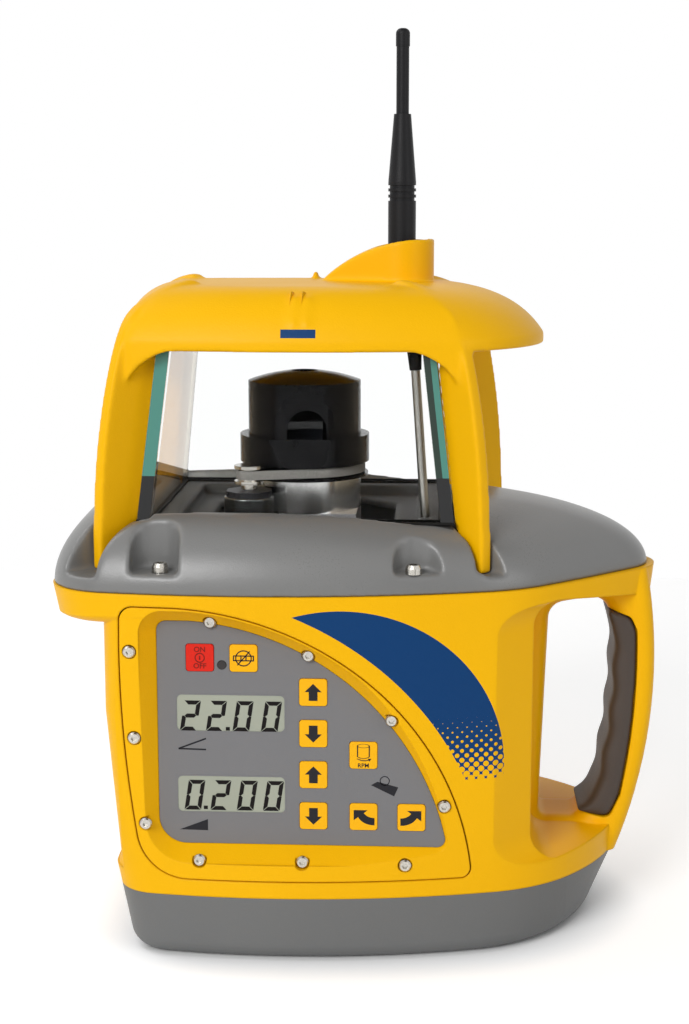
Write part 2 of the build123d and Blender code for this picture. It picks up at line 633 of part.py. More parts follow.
with BuildPart() as main_housing:
    add(casing.part)
    # Room for the keypad frame and its screws
    with BuildSketch(front_plane(pad_y)):
        offset(bezel_face, amount=bezel_gap)
    extrude(amount=top_depth, mode=Mode.SUBTRACT)
    with BuildSketch(front_plane(pad_y)):
        with Locations(*panel_screw_at):
            Circle(screw_r)
    extrude(amount=-panel_screw_grip - slip, mode=Mode.SUBTRACT)
    # Room inside for the works and the batteries, and the chassis seat
    with BuildSketch(Plane.XY.offset(seam_low_z)) as cavity:
        Polygon((cavity_left, cavity_front), (cavity_right, cavity_front), (cavity_right, cavity_rear),
                (cavity_left, cavity_rear), align=None)
        fillet(cavity.vertices(), cavity_r)
    extrude(amount=chassis_z - seam_low_z, mode=Mode.SUBTRACT)
    with BuildSketch(Plane.XY.offset(chassis_z)):
        offset(chassis_face, amount=slip)
    extrude(amount=seam_top_z - chassis_z, mode=Mode.SUBTRACT)
    # Recess of the keypad board
    with BuildSketch(front_plane(board_back_y)):
        offset(overlay_face, amount=-shelf)
    extrude(amount=wall, mode=Mode.SUBTRACT)
    # Corner bosses of the base screws, then the holes of those and of the cover screws
    with BuildSketch(Plane.XY.offset(seam_low_z)):
        with Locations((base_screw_left, -base_screw_y), (base_screw_left, base_screw_y)):
            Circle(corner_boss[0])
    extrude(amount=corner_boss[1])
    with BuildSketch(Plane.XY.offset(seam_low_z)):
        with Locations(*base_screw_at):
            Circle(screw_r)
    extrude(amount=base_screw_len - seam_low_z / 2 + slip, mode=Mode.SUBTRACT)
    with BuildSketch(Plane.XY.offset(seam_top_z)):
        with Locations(*cover_screw_at):
            Circle(cover_screw_r)
    extrude(amount=-cover_screw_len + pocket_z - seam_top_z - slip, mode=Mode.SUBTRACT)
    # Battery opening, the door's seat and its screw holes
    with BuildSketch(front_plane(door_seat_y)) as door_room:
        Polygon((-door_half_x - slip, door_low_z - slip), (door_half_x + slip, door_low_z - slip),
                (door_half_x + slip, door_top_z + slip), (-door_half_x - slip, door_top_z + slip), align=None)
        fillet(door_room.vertices(), door_r)
    extrude(amount=-top_depth, mode=Mode.SUBTRACT)
    with BuildSketch(front_plane(door_seat_y)):
        Polygon((-door_open_half, door_open_low_z), (door_open_half, door_open_low_z),
                (door_open_half, door_open_top_z), (-door_open_half, door_open_top_z), align=None)
    extrude(amount=wall, mode=Mode.SUBTRACT)
    with BuildSketch(front_plane(door_seat_y)):
        with Locations(*door_screw_at):
            Circle(screw_r)
    extrude(amount=wall, mode=Mode.SUBTRACT)
save(main_housing, "main_housing")

# Keypad bezel: the part of the casing's front inside the panel's outline, dished round the overlay
with BuildPart() as keypad_bezel:
    with BuildSketch(front_plane(bezel_back_y)):
        add(bezel_face)
    extrude(amount=top_depth)
    add(casing.part, mode=Mode.INTERSECT)
    add(dish.part, mode=Mode.SUBTRACT)
    with BuildSketch(front_plane(bezel_back_y)):
        offset(overlay_face, amount=-shelf)
    extrude(amount=top_depth, mode=Mode.SUBTRACT)
    for seat, at in zip(panel_screw_seats, panel_screw_at):
        with BuildSketch(seat):
            with Locations(at):
                Circle(screw_head_r + run_gap)
        extrude(amount=top_depth, mode=Mode.SUBTRACT)
        with BuildSketch(seat):
            with Locations(at):
                Circle(screw_r + slip)
        extrude(amount=-top_depth, mode=Mode.SUBTRACT)
save(keypad_bezel, "keypad_bezel")

# Glazing sizes at a level: outer faces of the leaning panes
lean = tan(radians(pane_lean))
pane_flat = pane_thick / cos(radians(pane_lean))       # thickness measured level
pane_low_z = ledge_z + gasket_thick
glazing_half_x = pane_x + pane_flat + glazing_margin
glazing_half_y = pane_half_y + glazing_margin
deck_front, deck_rear = deck_front_in - end_pane_y, end_pane_y - deck_rear_in
well_front, well_rear = well_front_in - end_pane_y, end_pane_y - well_rear_in


def pane_outside(z):
    """Distance of a side pane's outer face from the axis at height z."""
    return pane_x + pane_flat - (z - pane_low_z) * lean


def pane_end(z):
    """Distance of a side pane's end from the middle at height z."""
    return pane_half_y - (z - pane_low_z) * lean


# Fins: plates set at 45 degrees that carry the roof at its corners
def fin_plane(foot, side_x, side_y):
    """Upright plane of a fin through its foot, with its first axis pointing out of the corner."""
    return Plane((side_x * foot[0], side_y * foot[1], 0), x_dir=(side_x, side_y, 0), z_dir=(side_y, -side_x, 0))


def fin_inside(foot, z):
    """Place of the fin's inner edge on that plane at height z, clear of the side pane."""
    return (pane_outside(z) + fin_gap + fin_thick / 2 / sqrt(2) - foot[0]) * sqrt(2)


def fin_solid(foot, side_x, side_y):
    """A fin with its foot, its bowed outer edge and the rib that runs on over the roof."""
    brow = [(out, rim_z + rise) for out, rise in fin_brow]
    root = [(out, rim_z + rise) for out, rise in fin_root]
    with BuildPart() as fin:
        with BuildSketch(fin_plane(foot, side_x, side_y)):
            with BuildLine():
                Spline((0, fin_foot_z), *brow)
                Polyline(brow[-1], *root, (fin_inside(foot, rim_z), rim_z),
                         (fin_inside(foot, fin_heel_z), fin_heel_z), (-fin_heel, fin_heel_z),
                         (-fin_foot_flat, fin_foot_z), (0, fin_foot_z))
            make_face()
        extrude(amount=fin_thick / 2, both=True)
    return fin.part


def fin_slot(foot, side_x, side_y):
    """Room for a fin's foot in the cover, with the floor that the foot stands on."""
    inner = fin_inside(foot, ledge_z) - notch_gap
    with BuildPart() as slot:
        with BuildSketch(fin_plane(foot, side_x, side_y)):
            Polygon((notch_out, fin_foot_z), (-fin_foot_flat - notch_gap, fin_foot_z),
                    (-fin_heel - notch_gap, fin_heel_z - notch_gap), (inner, fin_heel_z - notch_gap),
                    (inner, roof_z), (notch_out, roof_z), align=None)
        extrude(amount=fin_thick / 2 + notch_gap, both=True)
    return slot.part


corners = [(left_fin_foot, -1, -1), (fin_foot, 1, -1), (rear_fin_foot, -1, 1), (rear_fin_foot, 1, 1)]
fins = [fin_solid(*corner) for corner in corners]
fin_slots = [fin_slot(*corner) for corner in corners]
cover_faces = [(z, cover_plan(inset, pull)) for z, inset, pull in cover_levels]
cover_hollow = cover_plan(cover_hollow_in, cover_hollow_pull)

# Top cover: a domed moulding with the sunken deck, screw pockets and slots for the roof's fins
with BuildPart() as top_cover:
    for level_z, face in cover_faces:
        with BuildSketch(Plane.XY.offset(level_z)):
            add(face)
    loft()
    with BuildSketch(Plane.XY.offset(seam_top_z)):
        add(cover_hollow)
    extrude(amount=cover_hollow_z - seam_top_z, mode=Mode.SUBTRACT)
    with BuildSketch(Plane.XY.offset(ledge_z)):
        Rectangle(2 * glazing_half_x, 2 * glazing_half_y)
    extrude(amount=cover_z - ledge_z, mode=Mode.SUBTRACT)
    with BuildSketch(Plane.XY.offset(deck_z)) as deck:
        Polygon((-deck_half_x, deck_front), (deck_half_x, deck_front), (deck_half_x, deck_rear),
                (-deck_half_x, deck_rear), align=None)
        fillet(deck.vertices(), deck_r)
    extrude(amount=cover_z - deck_z, mode=Mode.SUBTRACT)
    with BuildSketch(Plane.XY.offset(seam_top_z)) as well:
        Polygon((-well_half_x, well_front), (well_half_x, well_front), (well_half_x, well_rear),
                (-well_half_x, well_rear), align=None)
        chamfer(well.vertices().group_by(Axis.Y)[0], well_front_cut)
        chamfer(well.vertices().group_by(Axis.Y)[-1], well_rear_cut)
    extrude(amount=cover_z - seam_top_z, mode=Mode.SUBTRACT)
    for slot in fin_slots:
        add(slot, mode=Mode.SUBTRACT)
    for x, y in cover_screw_at:
        side = 1 if y > 0 else -1
        out = pocket_shift if x > 0 else -pocket_shift
        with BuildSketch(Plane.XY.offset(pocket_z)) as pocket:
            with Locations((x + out, y + side * top_depth / 2)):
                Rectangle(pocket_width, top_depth + 2 * pocket_back)
            fillet(pocket.vertices(), pocket_r)
        extrude(amount=cover_z - pocket_z, mode=Mode.SUBTRACT)
    with BuildSketch(Plane.XY.offset(seam_top_z)):
        with Locations(*cover_screw_at):
            Circle(cover_screw_r + slip)
    extrude(amount=pocket_z - seam_top_z, mode=Mode.SUBTRACT)
save(top_cover, "top_cover")


# Roof: bowed headers in front and behind, a visor at the handle side, corner fins and antenna fairing
def roof_plan(inset):
    """Plan of the roof drawn in by inset: a bowed side between each two corners."""
    front = pane_half_y + bow_front - inset
    right, far, near, left = [(side_x * (foot[0] - corner_in[0] - inset), side_y * (foot[1] - corner_in[1] - inset))
                              for foot, side_x, side_y in (corners[1], corners[3], corners[2], corners[0])]
    with BuildSketch() as face:
        with BuildLine():
            ThreePointArc(left, (0, -front), right)
            ThreePointArc(right, (bow_right - visor_pull * inset, 0), far)
            ThreePointArc(far, (0, front), near)
            ThreePointArc(near, (inset - bow_left, 0), left)
        make_face()
        fillet(face.vertices(), roof_corner_r)
    return face.sketch


rim_face = roof_plan(0)
mid_face = roof_plan(roof_mid_in)
flat_face = roof_plan(roof_flat_in)

fairing_brow = [(x, roof_z + rise) for x, rise in fairing_top]
header_y = -pane_half_y - bow_front
sight_face = [(header_y + back, rim_z + rise) for back, rise in sight_side]


def cheek(foot, side_x, side_y):
    """End of a header, reaching down to its fin under an arch."""
    reach = foot[0] - corner_in[0]
    arch = [(side_x * (reach + out), rim_z + rise) for out, rise in cheek_arch]
    with BuildPart() as piece:
        with BuildSketch(front_plane(0)):
            with BuildLine():
                ThreePointArc(*arch)
                Polyline(arch[2], (side_x * foot[0], arch[2][1]), (side_x * foot[0], rim_z + rim_height),
                         (arch[0][0], rim_z + rim_height), arch[0])
            make_face()
        extrude(amount=-side_y * top_depth)
        with BuildSketch(Plane.XY.offset(rim_z - cheek_low)):
            add(rim_face)
        extrude(amount=cheek_low + rim_height, mode=Mode.INTERSECT)
    return piece.part


cheeks = [cheek(*corner) for corner in corners]

with BuildPart() as fairing:
    with BuildSketch(Plane.XY.offset(roof_mid_z)):
        with Locations(antenna_at):
            Circle(fairing_r)
        with Locations((fairing_tail_x, antenna_at[1])):
            Circle(fairing_tail_r)
        make_hull()
    extrude(amount=whip_ring_z - roof_mid_z)
    with BuildSketch(front_plane(-fairing_r)):
        with BuildLine():
            ThreePointArc(*fairing_brow)
            Polyline(fairing_brow[2], (fairing_brow[2][0], whip_ring_z), (fairing_brow[0][0], whip_ring_z),
                     fairing_brow[0])
        make_face()
    extrude(amount=-3 * fairing_r, mode=Mode.SUBTRACT)

with BuildPart() as roof_cage:
    with BuildSketch(Plane.XY.offset(rim_z)):
        add(rim_face)
    extrude(amount=rim_height)
    with BuildSketch(Plane.XY.offset(rim_z + rim_height)):
        add(rim_face)
    with BuildSketch(Plane.XY.offset(roof_mid_z)):
        add(mid_face)
    with BuildSketch(Plane.XY.offset(roof_z)):
        add(flat_face)
    loft()
    for piece in fins + cheeks:
        add(piece)
    add(fairing.part)
    for x in sight_at:
        with BuildSketch(Plane.YZ.offset(x)):
            Polygon(*sight_face, align=None)
        extrude(amount=sight_width)
    with Locations((*rear_sight_at, roof_z - slip)):
        Box(*rear_sight_size, align=(Align.CENTER, Align.CENTER, Align.MIN))
    with BuildSketch(Plane.XY.offset(rim_z - cheek_low)):
        Rectangle(2 * (pane_outside(rim_z - cheek_low) + fin_gap), 2 * (pane_end(rim_z - cheek_low) + fin_gap))
    extrude(amount=pane_top_z + gasket_thick - rim_z + cheek_low, taper=pane_lean, mode=Mode.SUBTRACT)
    with BuildSketch(Plane.XY.offset(rim_z)):
        Rectangle(2 * (tube_head[0] - boot_r - wall), -2 * (tube_head[1] + boot_r + wall))
    extrude(amount=roof_z - roof_wall - rim_z, mode=Mode.SUBTRACT)
    with BuildSketch(Plane.XY.offset(whip_low_z - slip)):
        with Locations(antenna_at):
            Circle(fairing_r - fairing_wall)
    extrude(amount=whip_ring_z - whip_low_z, mode=Mode.SUBTRACT)
    with BuildSketch(Plane.XY.offset(roof_z - roof_wall)):
        with Locations(antenna_at):
            Circle(jack_r)
    extrude(amount=whip_low_z - roof_z + roof_wall, mode=Mode.SUBTRACT)
save(roof_cage, "roof_cage")

# Cover screws in their pockets
cover_screws = socket_screws([Plane((x, y, pocket_z)) for x, y in cover_screw_at],
                             [cover_screw_len] * len(cover_screw_at), cover_head_r, cover_head_h, cover_screw_r,
                             cover_socket_r)
save(cover_screws, "cover_screws")

# Side panes: two leaning plates
with BuildPart() as side_panes:
    for side in (-1, 1):
        with BuildSketch(front_plane(-pane_half_y)):
            Polygon((side * pane_x, pane_low_z), (side * (pane_x + pane_flat), pane_low_z),
                    (side * pane_outside(pane_top_z), pane_top_z),
                    (side * (pane_outside(pane_top_z) - pane_flat), pane_top_z), align=None)
        extrude(amount=-2 * pane_half_y)
    with BuildSketch(Plane.YZ):
        Polygon((-pane_half_y, pane_low_z), (pane_half_y, pane_low_z), (pane_end(pane_top_z), pane_top_z),
                (-pane_end(pane_top_z), pane_top_z), align=None)
    extrude(amount=glazing_half_x, both=True, mode=Mode.INTERSECT)
save(side_panes, "side_panes")

# End panes: two plates of the same lean between the side panes
end_rise = (pane_top_z - pane_low_z) * lean
with BuildPart() as end_panes:
    for side in (-1, 1):
        with BuildSketch(Plane.YZ.offset(-pane_x)):
            Polygon((side * end_pane_y, pane_low_z), (side * (end_pane_y + pane_flat), pane_low_z),
                    (side * (end_pane_y + pane_flat - end_rise), pane_top_z),
                    (side * (end_pane_y - end_rise), pane_top_z), align=None)
        extrude(amount=2 * pane_x)
    with BuildSketch(front_plane(-pane_half_y)):
        Polygon((-pane_x + slip, pane_low_z), (pane_x - slip, pane_low_z),
                (pane_x - slip - end_rise, pane_top_z), (-pane_x + slip + end_rise, pane_top_z), align=None)
    extrude(amount=-2 * pane_half_y, mode=Mode.INTERSECT)
save(end_panes, "end_panes")


# Gaskets that the panes stand in, on the deck and under the roof
def glazing_gasket(level_z, outer_x, outer_y, inner_x, inner_y):
    """A flat seal in the shape of a frame."""
    with BuildPart() as gasket:
        with BuildSketch(Plane.XY.offset(level_z)):
            Rectangle(2 * outer_x, 2 * outer_y)
            Rectangle(2 * inner_x, 2 * inner_y, mode=Mode.SUBTRACT)
        extrude(amount=gasket_thick)
    return gasket


deck_gasket = glazing_gasket(ledge_z, pane_outside(ledge_z) + slip, glazing_half_y - slip,
                             pane_x - glazing_margin, end_pane_y - glazing_margin)
save(deck_gasket, "deck_gasket")
roof_gasket = glazing_gasket(pane_top_z, pane_outside(pane_top_z), pane_end(pane_top_z),
                             pane_outside(pane_top_z) - pane_flat - glazing_margin,
                             end_pane_y - end_rise - glazing_margin)
save(roof_gasket, "roof_gasket")

# Antenna jack, a threaded stub in the roof
with BuildPart() as antenna_jack:
    with BuildSketch(Plane.XY.offset(roof_z - roof_wall)):
        with Locations(antenna_at):
            Circle(jack_r)
    extrude(amount=whip_low_z - roof_z + roof_wall + jack_len)
save(antenna_jack, "antenna_jack")

# Whip antenna: sleeve, ring grooves, taper, rod and tip cap, screwed over the jack
with BuildPart() as antenna_whip:
    with BuildSketch(Plane((*antenna_at, 0), x_dir=(1, 0, 0), z_dir=(0, -1, 0))):
        with BuildLine():
            Polyline((0, whip_low_z), (whip_base_r, whip_low_z), (whip_base_r, whip_ring_z))
            for i in range(whip_rings):
                z = whip_ring_z + i * whip_ring_pitch
                Polyline((whip_base_r, z), (whip_base_r - whip_ring_deep, z),
                         (whip_base_r - whip_ring_deep, z + whip_ring_pitch / 2),
                         (whip_base_r, z + whip_ring_pitch / 2), (whip_base_r, z + whip_ring_pitch))
            Polyline((whip_base_r, whip_ring_z + whip_rings * whip_ring_pitch), (whip_waist_r, whip_taper_z),
                     (whip_rod_r, whip_taper_z), (whip_rod_r, whip_cap_z), (whip_cap_r, whip_cap_z),
                     (whip_cap_r, whip_top_z), (0, whip_top_z), (0, whip_low_z))
        make_face()
    revolve(axis=Axis((*antenna_at, 0), (0, 0, 1)))
    fillet(antenna_whip.edges().group_by(Axis.Z)[-1], whip_cap_r * whip_cap_round)
    with BuildSketch(Plane.XY.offset(whip_low_z)):
        with Locations(antenna_at):
            Circle(jack_r + fit)
    extrude(amount=jack_len + run_gap, mode=Mode.SUBTRACT)
save(antenna_whip, "antenna_whip")

# Cable tube from the deck to the roof, and its rubber boot
tube_plane = Plane((*tube_foot, ledge_z), z_dir=(tube_head[0] - tube_foot[0], 0, boot_low_z - ledge_z))
with BuildPart() as cable_tube:
    with BuildSketch(tube_plane):
        Circle(cable_tube_r)
    extrude(amount=sqrt((tube_head[0] - tube_foot[0]) ** 2 + (boot_low_z - ledge_z) ** 2))
    with BuildSketch(Plane.XY.offset(ledge_z)):
        with Locations(tube_foot):
            Circle(cable_tube_r)
    extrude(amount=cable_tube_r)
    split(bisect_by=Plane.XY.offset(ledge_z), keep=Keep.TOP)
save(cable_tube, "cable_tube")

boot_plane = Plane((*tube_head, boot_low_z + slip), z_dir=tube_plane.z_dir)
with BuildPart() as tube_boot:
    with BuildSketch(boot_plane):
        Circle(boot_r - boot_taper)
    with BuildSketch(boot_plane.offset(rim_z - boot_low_z)):
        Circle(boot_r)
    loft()
    with BuildSketch(boot_plane.offset(rim_z - boot_low_z)):
        Circle(boot_neck_r)
    extrude(amount=2 * (pane_top_z - rim_z))
    split(bisect_by=Plane.XY.offset(pane_top_z + gasket_thick), keep=Keep.BOTTOM)
save(tube_boot, "tube_boot")

# Keypad seal, screws, overlay, displays, lens and board
with BuildPart() as bezel_gasket:
    with BuildSketch(front_plane(pad_y)):
        offset(bezel_face, amount=-seal_inset)
        offset(overlay_face, amount=-shelf, mode=Mode.SUBTRACT)
        with Locations(*panel_screw_at):
            Circle(screw_r + slip, mode=Mode.SUBTRACT)
    extrude(amount=seal_thick)
save(bezel_gasket, "bezel_gasket")

panel_screws = socket_screws([Plane((x, seat.origin.Y, z), x_dir=(1, 0, 0), z_dir=(0, -1, 0))
                              for seat, (x, z) in zip(panel_screw_seats, panel_screw_at)],
                             [pad_y + panel_screw_grip - seat.origin.Y for seat in panel_screw_seats],
                             screw_head_r, screw_head_h, screw_r, socket_r)
save(panel_screws, "panel_screws")

with BuildPart() as keypad_overlay:
    with BuildSketch(front_plane(overlay_back_y)):
        add(overlay_face)
        with Locations(*key_at.values()):
            RectangleRounded(key_size + 2 * slip, key_size + 2 * slip, key_corner, mode=Mode.SUBTRACT)
        with Locations(*display_at):
            Rectangle(display_size[0] + 2 * slip, display_size[1] + 2 * slip, mode=Mode.SUBTRACT)
        with Locations(lens_at):
            Circle(lens_r + slip, mode=Mode.SUBTRACT)
        with Locations(*panel_screw_at):
            Circle(screw_head_r + run_gap, mode=Mode.SUBTRACT)
    extrude(amount=overlay_thick)
save(keypad_overlay, "keypad_overlay")

for name, at in key_at.items():
    with BuildPart() as key:
        with BuildSketch(front_plane(key_back_y)):
            with Locations(at):
                RectangleRounded(key_size, key_size, key_corner)
        extrude(amount=key_back_y - key_front_y)
        fillet(key.faces().sort_by(Axis.Y)[0].edges(), key_proud / 2)
        with BuildSketch(front_plane(key_back_y)):
            with Locations(at):
                RectangleRounded(key_size + 2 * key_lip, key_size + 2 * key_lip, key_corner)
        extrude(amount=key_lip_thick)
    save(key, name)

with BuildPart() as keypad_displays:
    with BuildSketch(front_plane(board_front_y)):
        with Locations(*display_at):
            Rectangle(*display_size)
    extrude(amount=board_front_y - overlay_y - slip)
save(keypad_displays, "keypad_displays")

with BuildPart() as status_lens:
    with BuildSketch(front_plane(board_front_y)):
        with Locations(lens_at):
            Circle(lens_r)
    extrude(amount=board_front_y - overlay_y + slip)
save(status_lens, "status_lens")

with BuildPart() as keypad_board:
    with BuildSketch(front_plane(board_back_y)):
        offset(overlay_face, amount=-shelf - slip)
    extrude(amount=board_thick)
save(keypad_board, "keypad_board")

# Rotor pulley: belt groove between two rims, with the hollow shaft below and the head's seat above
with BuildPart() as rotor_pulley:
    with BuildSketch(Plane.XZ):
        Polygon((beam_r, shaft_low_z), (shaft_r, shaft_low_z), (shaft_r, rotor_low_z), (low_rim_r, rotor_low_z),
                (low_rim_r, groove_low_z), (groove_r, groove_low_z), (groove_r, flange_low_z),
                (flange_r, flange_low_z), (flange_r, flange_top_z), (head_r + slip, flange_top_z),
                (head_r + slip, head_z), (beam_r, head_z), align=None)
    revolve(axis=Axis.Z)
save(rotor_pulley, "rotor_pulley")

# Rotor head: a round cover with a flat facet and the arched beam aperture
turn = radians(aperture_turn)
aperture_plane = Plane((0, 0, 0), x_dir=(cos(turn), sin(turn), 0), z_dir=(sin(turn), -cos(turn), 0))
with BuildPart() as rotor_head:
    with BuildSketch(Plane.XY.offset(head_z)):
        Circle(head_r)
        Circle(head_r - head_wall, mode=Mode.SUBTRACT)
    extrude(amount=lid_z - head_z)
    with BuildSketch(aperture_plane.offset(facet_r)):
        with Locations((0, head_z)):
            Rectangle(facet_width, aperture_top_z + head_wall - head_z, align=(Align.CENTER, Align.MIN))
    extrude(amount=head_r, mode=Mode.SUBTRACT)
    with BuildSketch(aperture_plane):
        with Locations((0, aperture_low_z)):
            Rectangle(aperture_width, aperture_top_z - aperture_width / 2 - aperture_low_z,
                      align=(Align.CENTER, Align.MIN))
        with Locations((0, aperture_top_z - aperture_width / 2)):
            Circle(aperture_width / 2)
    extrude(amount=head_r, mode=Mode.SUBTRACT)
save(rotor_head, "rotor_head")

# Rotor lid: a domed cap with a middle hole
with BuildPart() as rotor_lid:
    with BuildSketch(Plane.XZ):
        with BuildLine():
            Polyline((0, crown_z - lid_hole_deep), (0, lid_z), (head_r - lid_groove, lid_z),
                     (head_r - lid_groove, lid_z + lid_groove), (head_r, lid_z + lid_groove),
                     (head_r, lid_edge_z))
            ThreePointArc((head_r, lid_edge_z),
                          ((head_r + lid_hole_r) / 2, (lid_edge_z + crown_z) / 2 + lid_bulge), (lid_hole_r, crown_z))
            Polyline((lid_hole_r, crown_z), (lid_hole_r, crown_z - lid_hole_deep), (0, crown_z - lid_hole_deep))
        make_face()
    revolve(axis=Axis.Z)
save(rotor_lid, "rotor_lid")

# Pentaprism on the pulley: turns the upright beam to the aperture
mirror_turn = 22.5         # degrees, between a mirror face and the face next to it
mirror_len = prism_face / cos(radians(mirror_turn))
roof_len = prism_face * (2 - sqrt(2))
prism_outline = [Vector(-prism_face / 2, head_z), Vector(prism_face / 2, head_z)]
for heading, length in ((3 * mirror_turn, mirror_len), (6 * mirror_turn, roof_len), (9 * mirror_turn, mirror_len)):
    prism_outline.append(prism_outline[-1] + Vector(length, 0).rotate(Axis.Z, heading))
prism_plane = Plane((0, 0, 0), x_dir=(-sin(turn), cos(turn), 0), z_dir=(cos(turn), sin(turn), 0))
with BuildPart() as pentaprism:
    with BuildSketch(prism_plane):
        Polygon(*[(point.X, point.Y) for point in prism_outline], align=None)
    extrude(amount=prism_width / 2, both=True)
save(pentaprism, "pentaprism")

# Bearing drum, its two bearings and the laser tube below
with BuildPart() as bearing_drum:
    with BuildSketch(Plane.XZ):
        Polygon((beam_r, drum_low_z), (drum_r, drum_low_z), (drum_r, drum_z), (bearing_r, drum_z),
                (bearing_r, bearing_low_z), (beam_r, bearing_low_z), align=None)
    revolve(axis=Axis.Z)
save(bearing_drum, "bearing_drum")

with BuildPart() as rotor_bearings:
    for z in (bearing_low_z, drum_z - bearing_h):
        with BuildSketch(Plane.XY.offset(z)):
            Circle(bearing_r)
            Circle(shaft_r + fit, mode=Mode.SUBTRACT)
        extrude(amount=bearing_h)
save(rotor_bearings, "rotor_bearings")

with BuildPart() as laser_tube:
    with BuildSketch(Plane.XZ):
        Polygon((tube_bore_r, tube_low_z), (tube_r, tube_low_z), (tube_r, collar_low_z), (collar_r, collar_low_z),
                (collar_r, drum_low_z), (beam_r, drum_low_z), (beam_r, lens_z + lens_h),
                (tube_bore_r, lens_z + lens_h), align=None)
    revolve(axis=Axis.Z)
save(laser_tube, "laser_tube")

with BuildPart() as collimator_lens:
    with BuildSketch(Plane.XY.offset(lens_z)):
        Circle(tube_bore_r - fit)
    extrude(amount=lens_h)
save(collimator_lens, "collimator_lens")

with BuildPart() as laser_module:
    with BuildSketch(Plane.XY.offset(tube_low_z)):
        Circle(tube_bore_r - fit)
    extrude(amount=module_h)
    with BuildSketch(Plane.XY.offset(tube_low_z + module_h)):
        Circle(beam_r)
    extrude(amount=beam_r)
save(laser_module, "laser_module")

# Tail pin: closes the tube and reaches down to both grade drives with a ball for each
with BuildPart() as tail_pin:
    with BuildSketch(Plane.XY.offset(tube_low_z - tail_plate)):
        Circle(tube_r)
    extrude(amount=tail_plate)
    with BuildSketch(Plane.XY.offset(cross_z)):
        Circle(tail_r)
    extrude(amount=tube_low_z - tail_plate - cross_z)
    with Locations((0, 0, cross_z), (0, 0, main_z)):
        Sphere(tail_ball_r)
save(tail_pin, "tail_pin")

# Belt, motor and its pulley
with BuildPart() as drive_belt:
    with BuildSketch(Plane.XY.offset(belt_z - belt_width / 2)) as belt_outer:
        Circle(groove_r + belt_gap + belt_thick)
        with Locations(motor_at):
            Circle(motor_groove_r + belt_gap + belt_thick)
        make_hull()
    extrude(amount=belt_width)
    with BuildSketch(Plane.XY.offset(belt_z - belt_width / 2)):
        Circle(groove_r + belt_gap)
        with Locations(motor_at):
            Circle(motor_groove_r + belt_gap)
        make_hull()
    extrude(amount=belt_width, mode=Mode.SUBTRACT)
save(drive_belt, "drive_belt")

motor_axis = Plane((*motor_at, 0), x_dir=(1, 0, 0), z_dir=(0, -1, 0))
with BuildPart() as motor_pulley:
    with BuildSketch(motor_axis):
        Polygon((motor_shaft_r, motor_pulley_low_z), (motor_hub_r, motor_pulley_low_z), (motor_hub_r, hub_top_z),
                (motor_pulley_r, hub_top_z), (motor_pulley_r, groove_low_z), (motor_groove_r, groove_low_z),
                (motor_groove_r, flange_low_z), (motor_pulley_r, flange_low_z),
                (motor_pulley_r, motor_pulley_top_z), (motor_shaft_r, motor_pulley_top_z), align=None)
    revolve(axis=Axis((*motor_at, 0), (0, 0, 1)))
save(motor_pulley, "motor_pulley")

with BuildPart() as motor_shaft:
    with BuildSketch(Plane.XY.offset(motor_shaft_low_z)):
        with Locations(motor_at):
            Circle(motor_shaft_r)
    extrude(amount=motor_pulley_top_z - motor_shaft_low_z)
save(motor_shaft, "motor_shaft")

carrier_top_z = pivot_z + carrier_h / 2
with BuildPart() as motor_can:
    with BuildSketch(Plane.XY.offset(carrier_top_z)):
        with Locations(motor_at):
            Circle(motor_r)
    extrude(amount=motor_top_z - carrier_top_z)
    fillet(motor_can.edges().sort_by(Axis.Z)[-1], motor_cap_h / 4)
    with BuildSketch(Plane.XY.offset(motor_shaft_low_z)):
        with Locations(motor_at):
            Circle(motor_shaft_r + fit)
    extrude(amount=motor_top_z - motor_shaft_low_z, mode=Mode.SUBTRACT)
save(motor_can, "motor_can")

with BuildPart() as motor_end_cap:
    with BuildSketch(Plane.XY.offset(motor_top_z)):
        with Locations(motor_at):
            Circle(motor_r - motor_cap_h / 4)
            with PolarLocations(motor_r, cap_notches):
                Rectangle(cap_notch, 2 * cap_notch, mode=Mode.SUBTRACT)
            Circle(motor_shaft_r + run_gap, mode=Mode.SUBTRACT)
    extrude(amount=motor_cap_h)
save(motor_end_cap, "motor_end_cap")

# Gimbal: chassis plate, ring, carrier and their pivot pins
boss_in = ring_out_r + run_gap
with BuildPart() as chassis:
    with BuildSketch(Plane.XY.offset(chassis_z)):
        add(chassis_face)
        Circle(ring_out_r + chassis_gap, mode=Mode.SUBTRACT)
    extrude(amount=chassis_thick)
    for side in (-1, 1):
        with Locations((side * (boss_in + pin_grip / 2 + run_gap), 0, pivot_z)):
            Box(pin_grip + 2 * run_gap, 2 * chassis_boss_half, chassis_boss_h)
    with BuildSketch(Plane.YZ.offset(-ring_out_r - 2 * pin_grip)):
        with Locations((0, pivot_z)):
            Circle(pin_r)
    extrude(amount=2 * ring_out_r + 4 * pin_grip, mode=Mode.SUBTRACT)
save(chassis, "chassis")

with BuildPart() as gimbal_ring:
    with BuildSketch(Plane.XY.offset(pivot_z - ring_h / 2)):
        Circle(ring_out_r)
        Circle(ring_r, mode=Mode.SUBTRACT)
    extrude(amount=ring_h)
    for plane in (Plane.YZ, Plane.XZ):
        with BuildSketch(plane):
            with Locations((0, pivot_z)):
                Circle(pin_r + fit)
        extrude(amount=ring_out_r, both=True, mode=Mode.SUBTRACT)
save(gimbal_ring, "gimbal_ring")

with BuildPart() as ring_pins:
    for x in (-boss_in - pin_grip, ring_r):
        with BuildSketch(Plane.YZ.offset(x)):
            with Locations((0, pivot_z)):
                Circle(pin_r)
        extrude(amount=boss_in + pin_grip - ring_r)
save(ring_pins, "ring_pins")

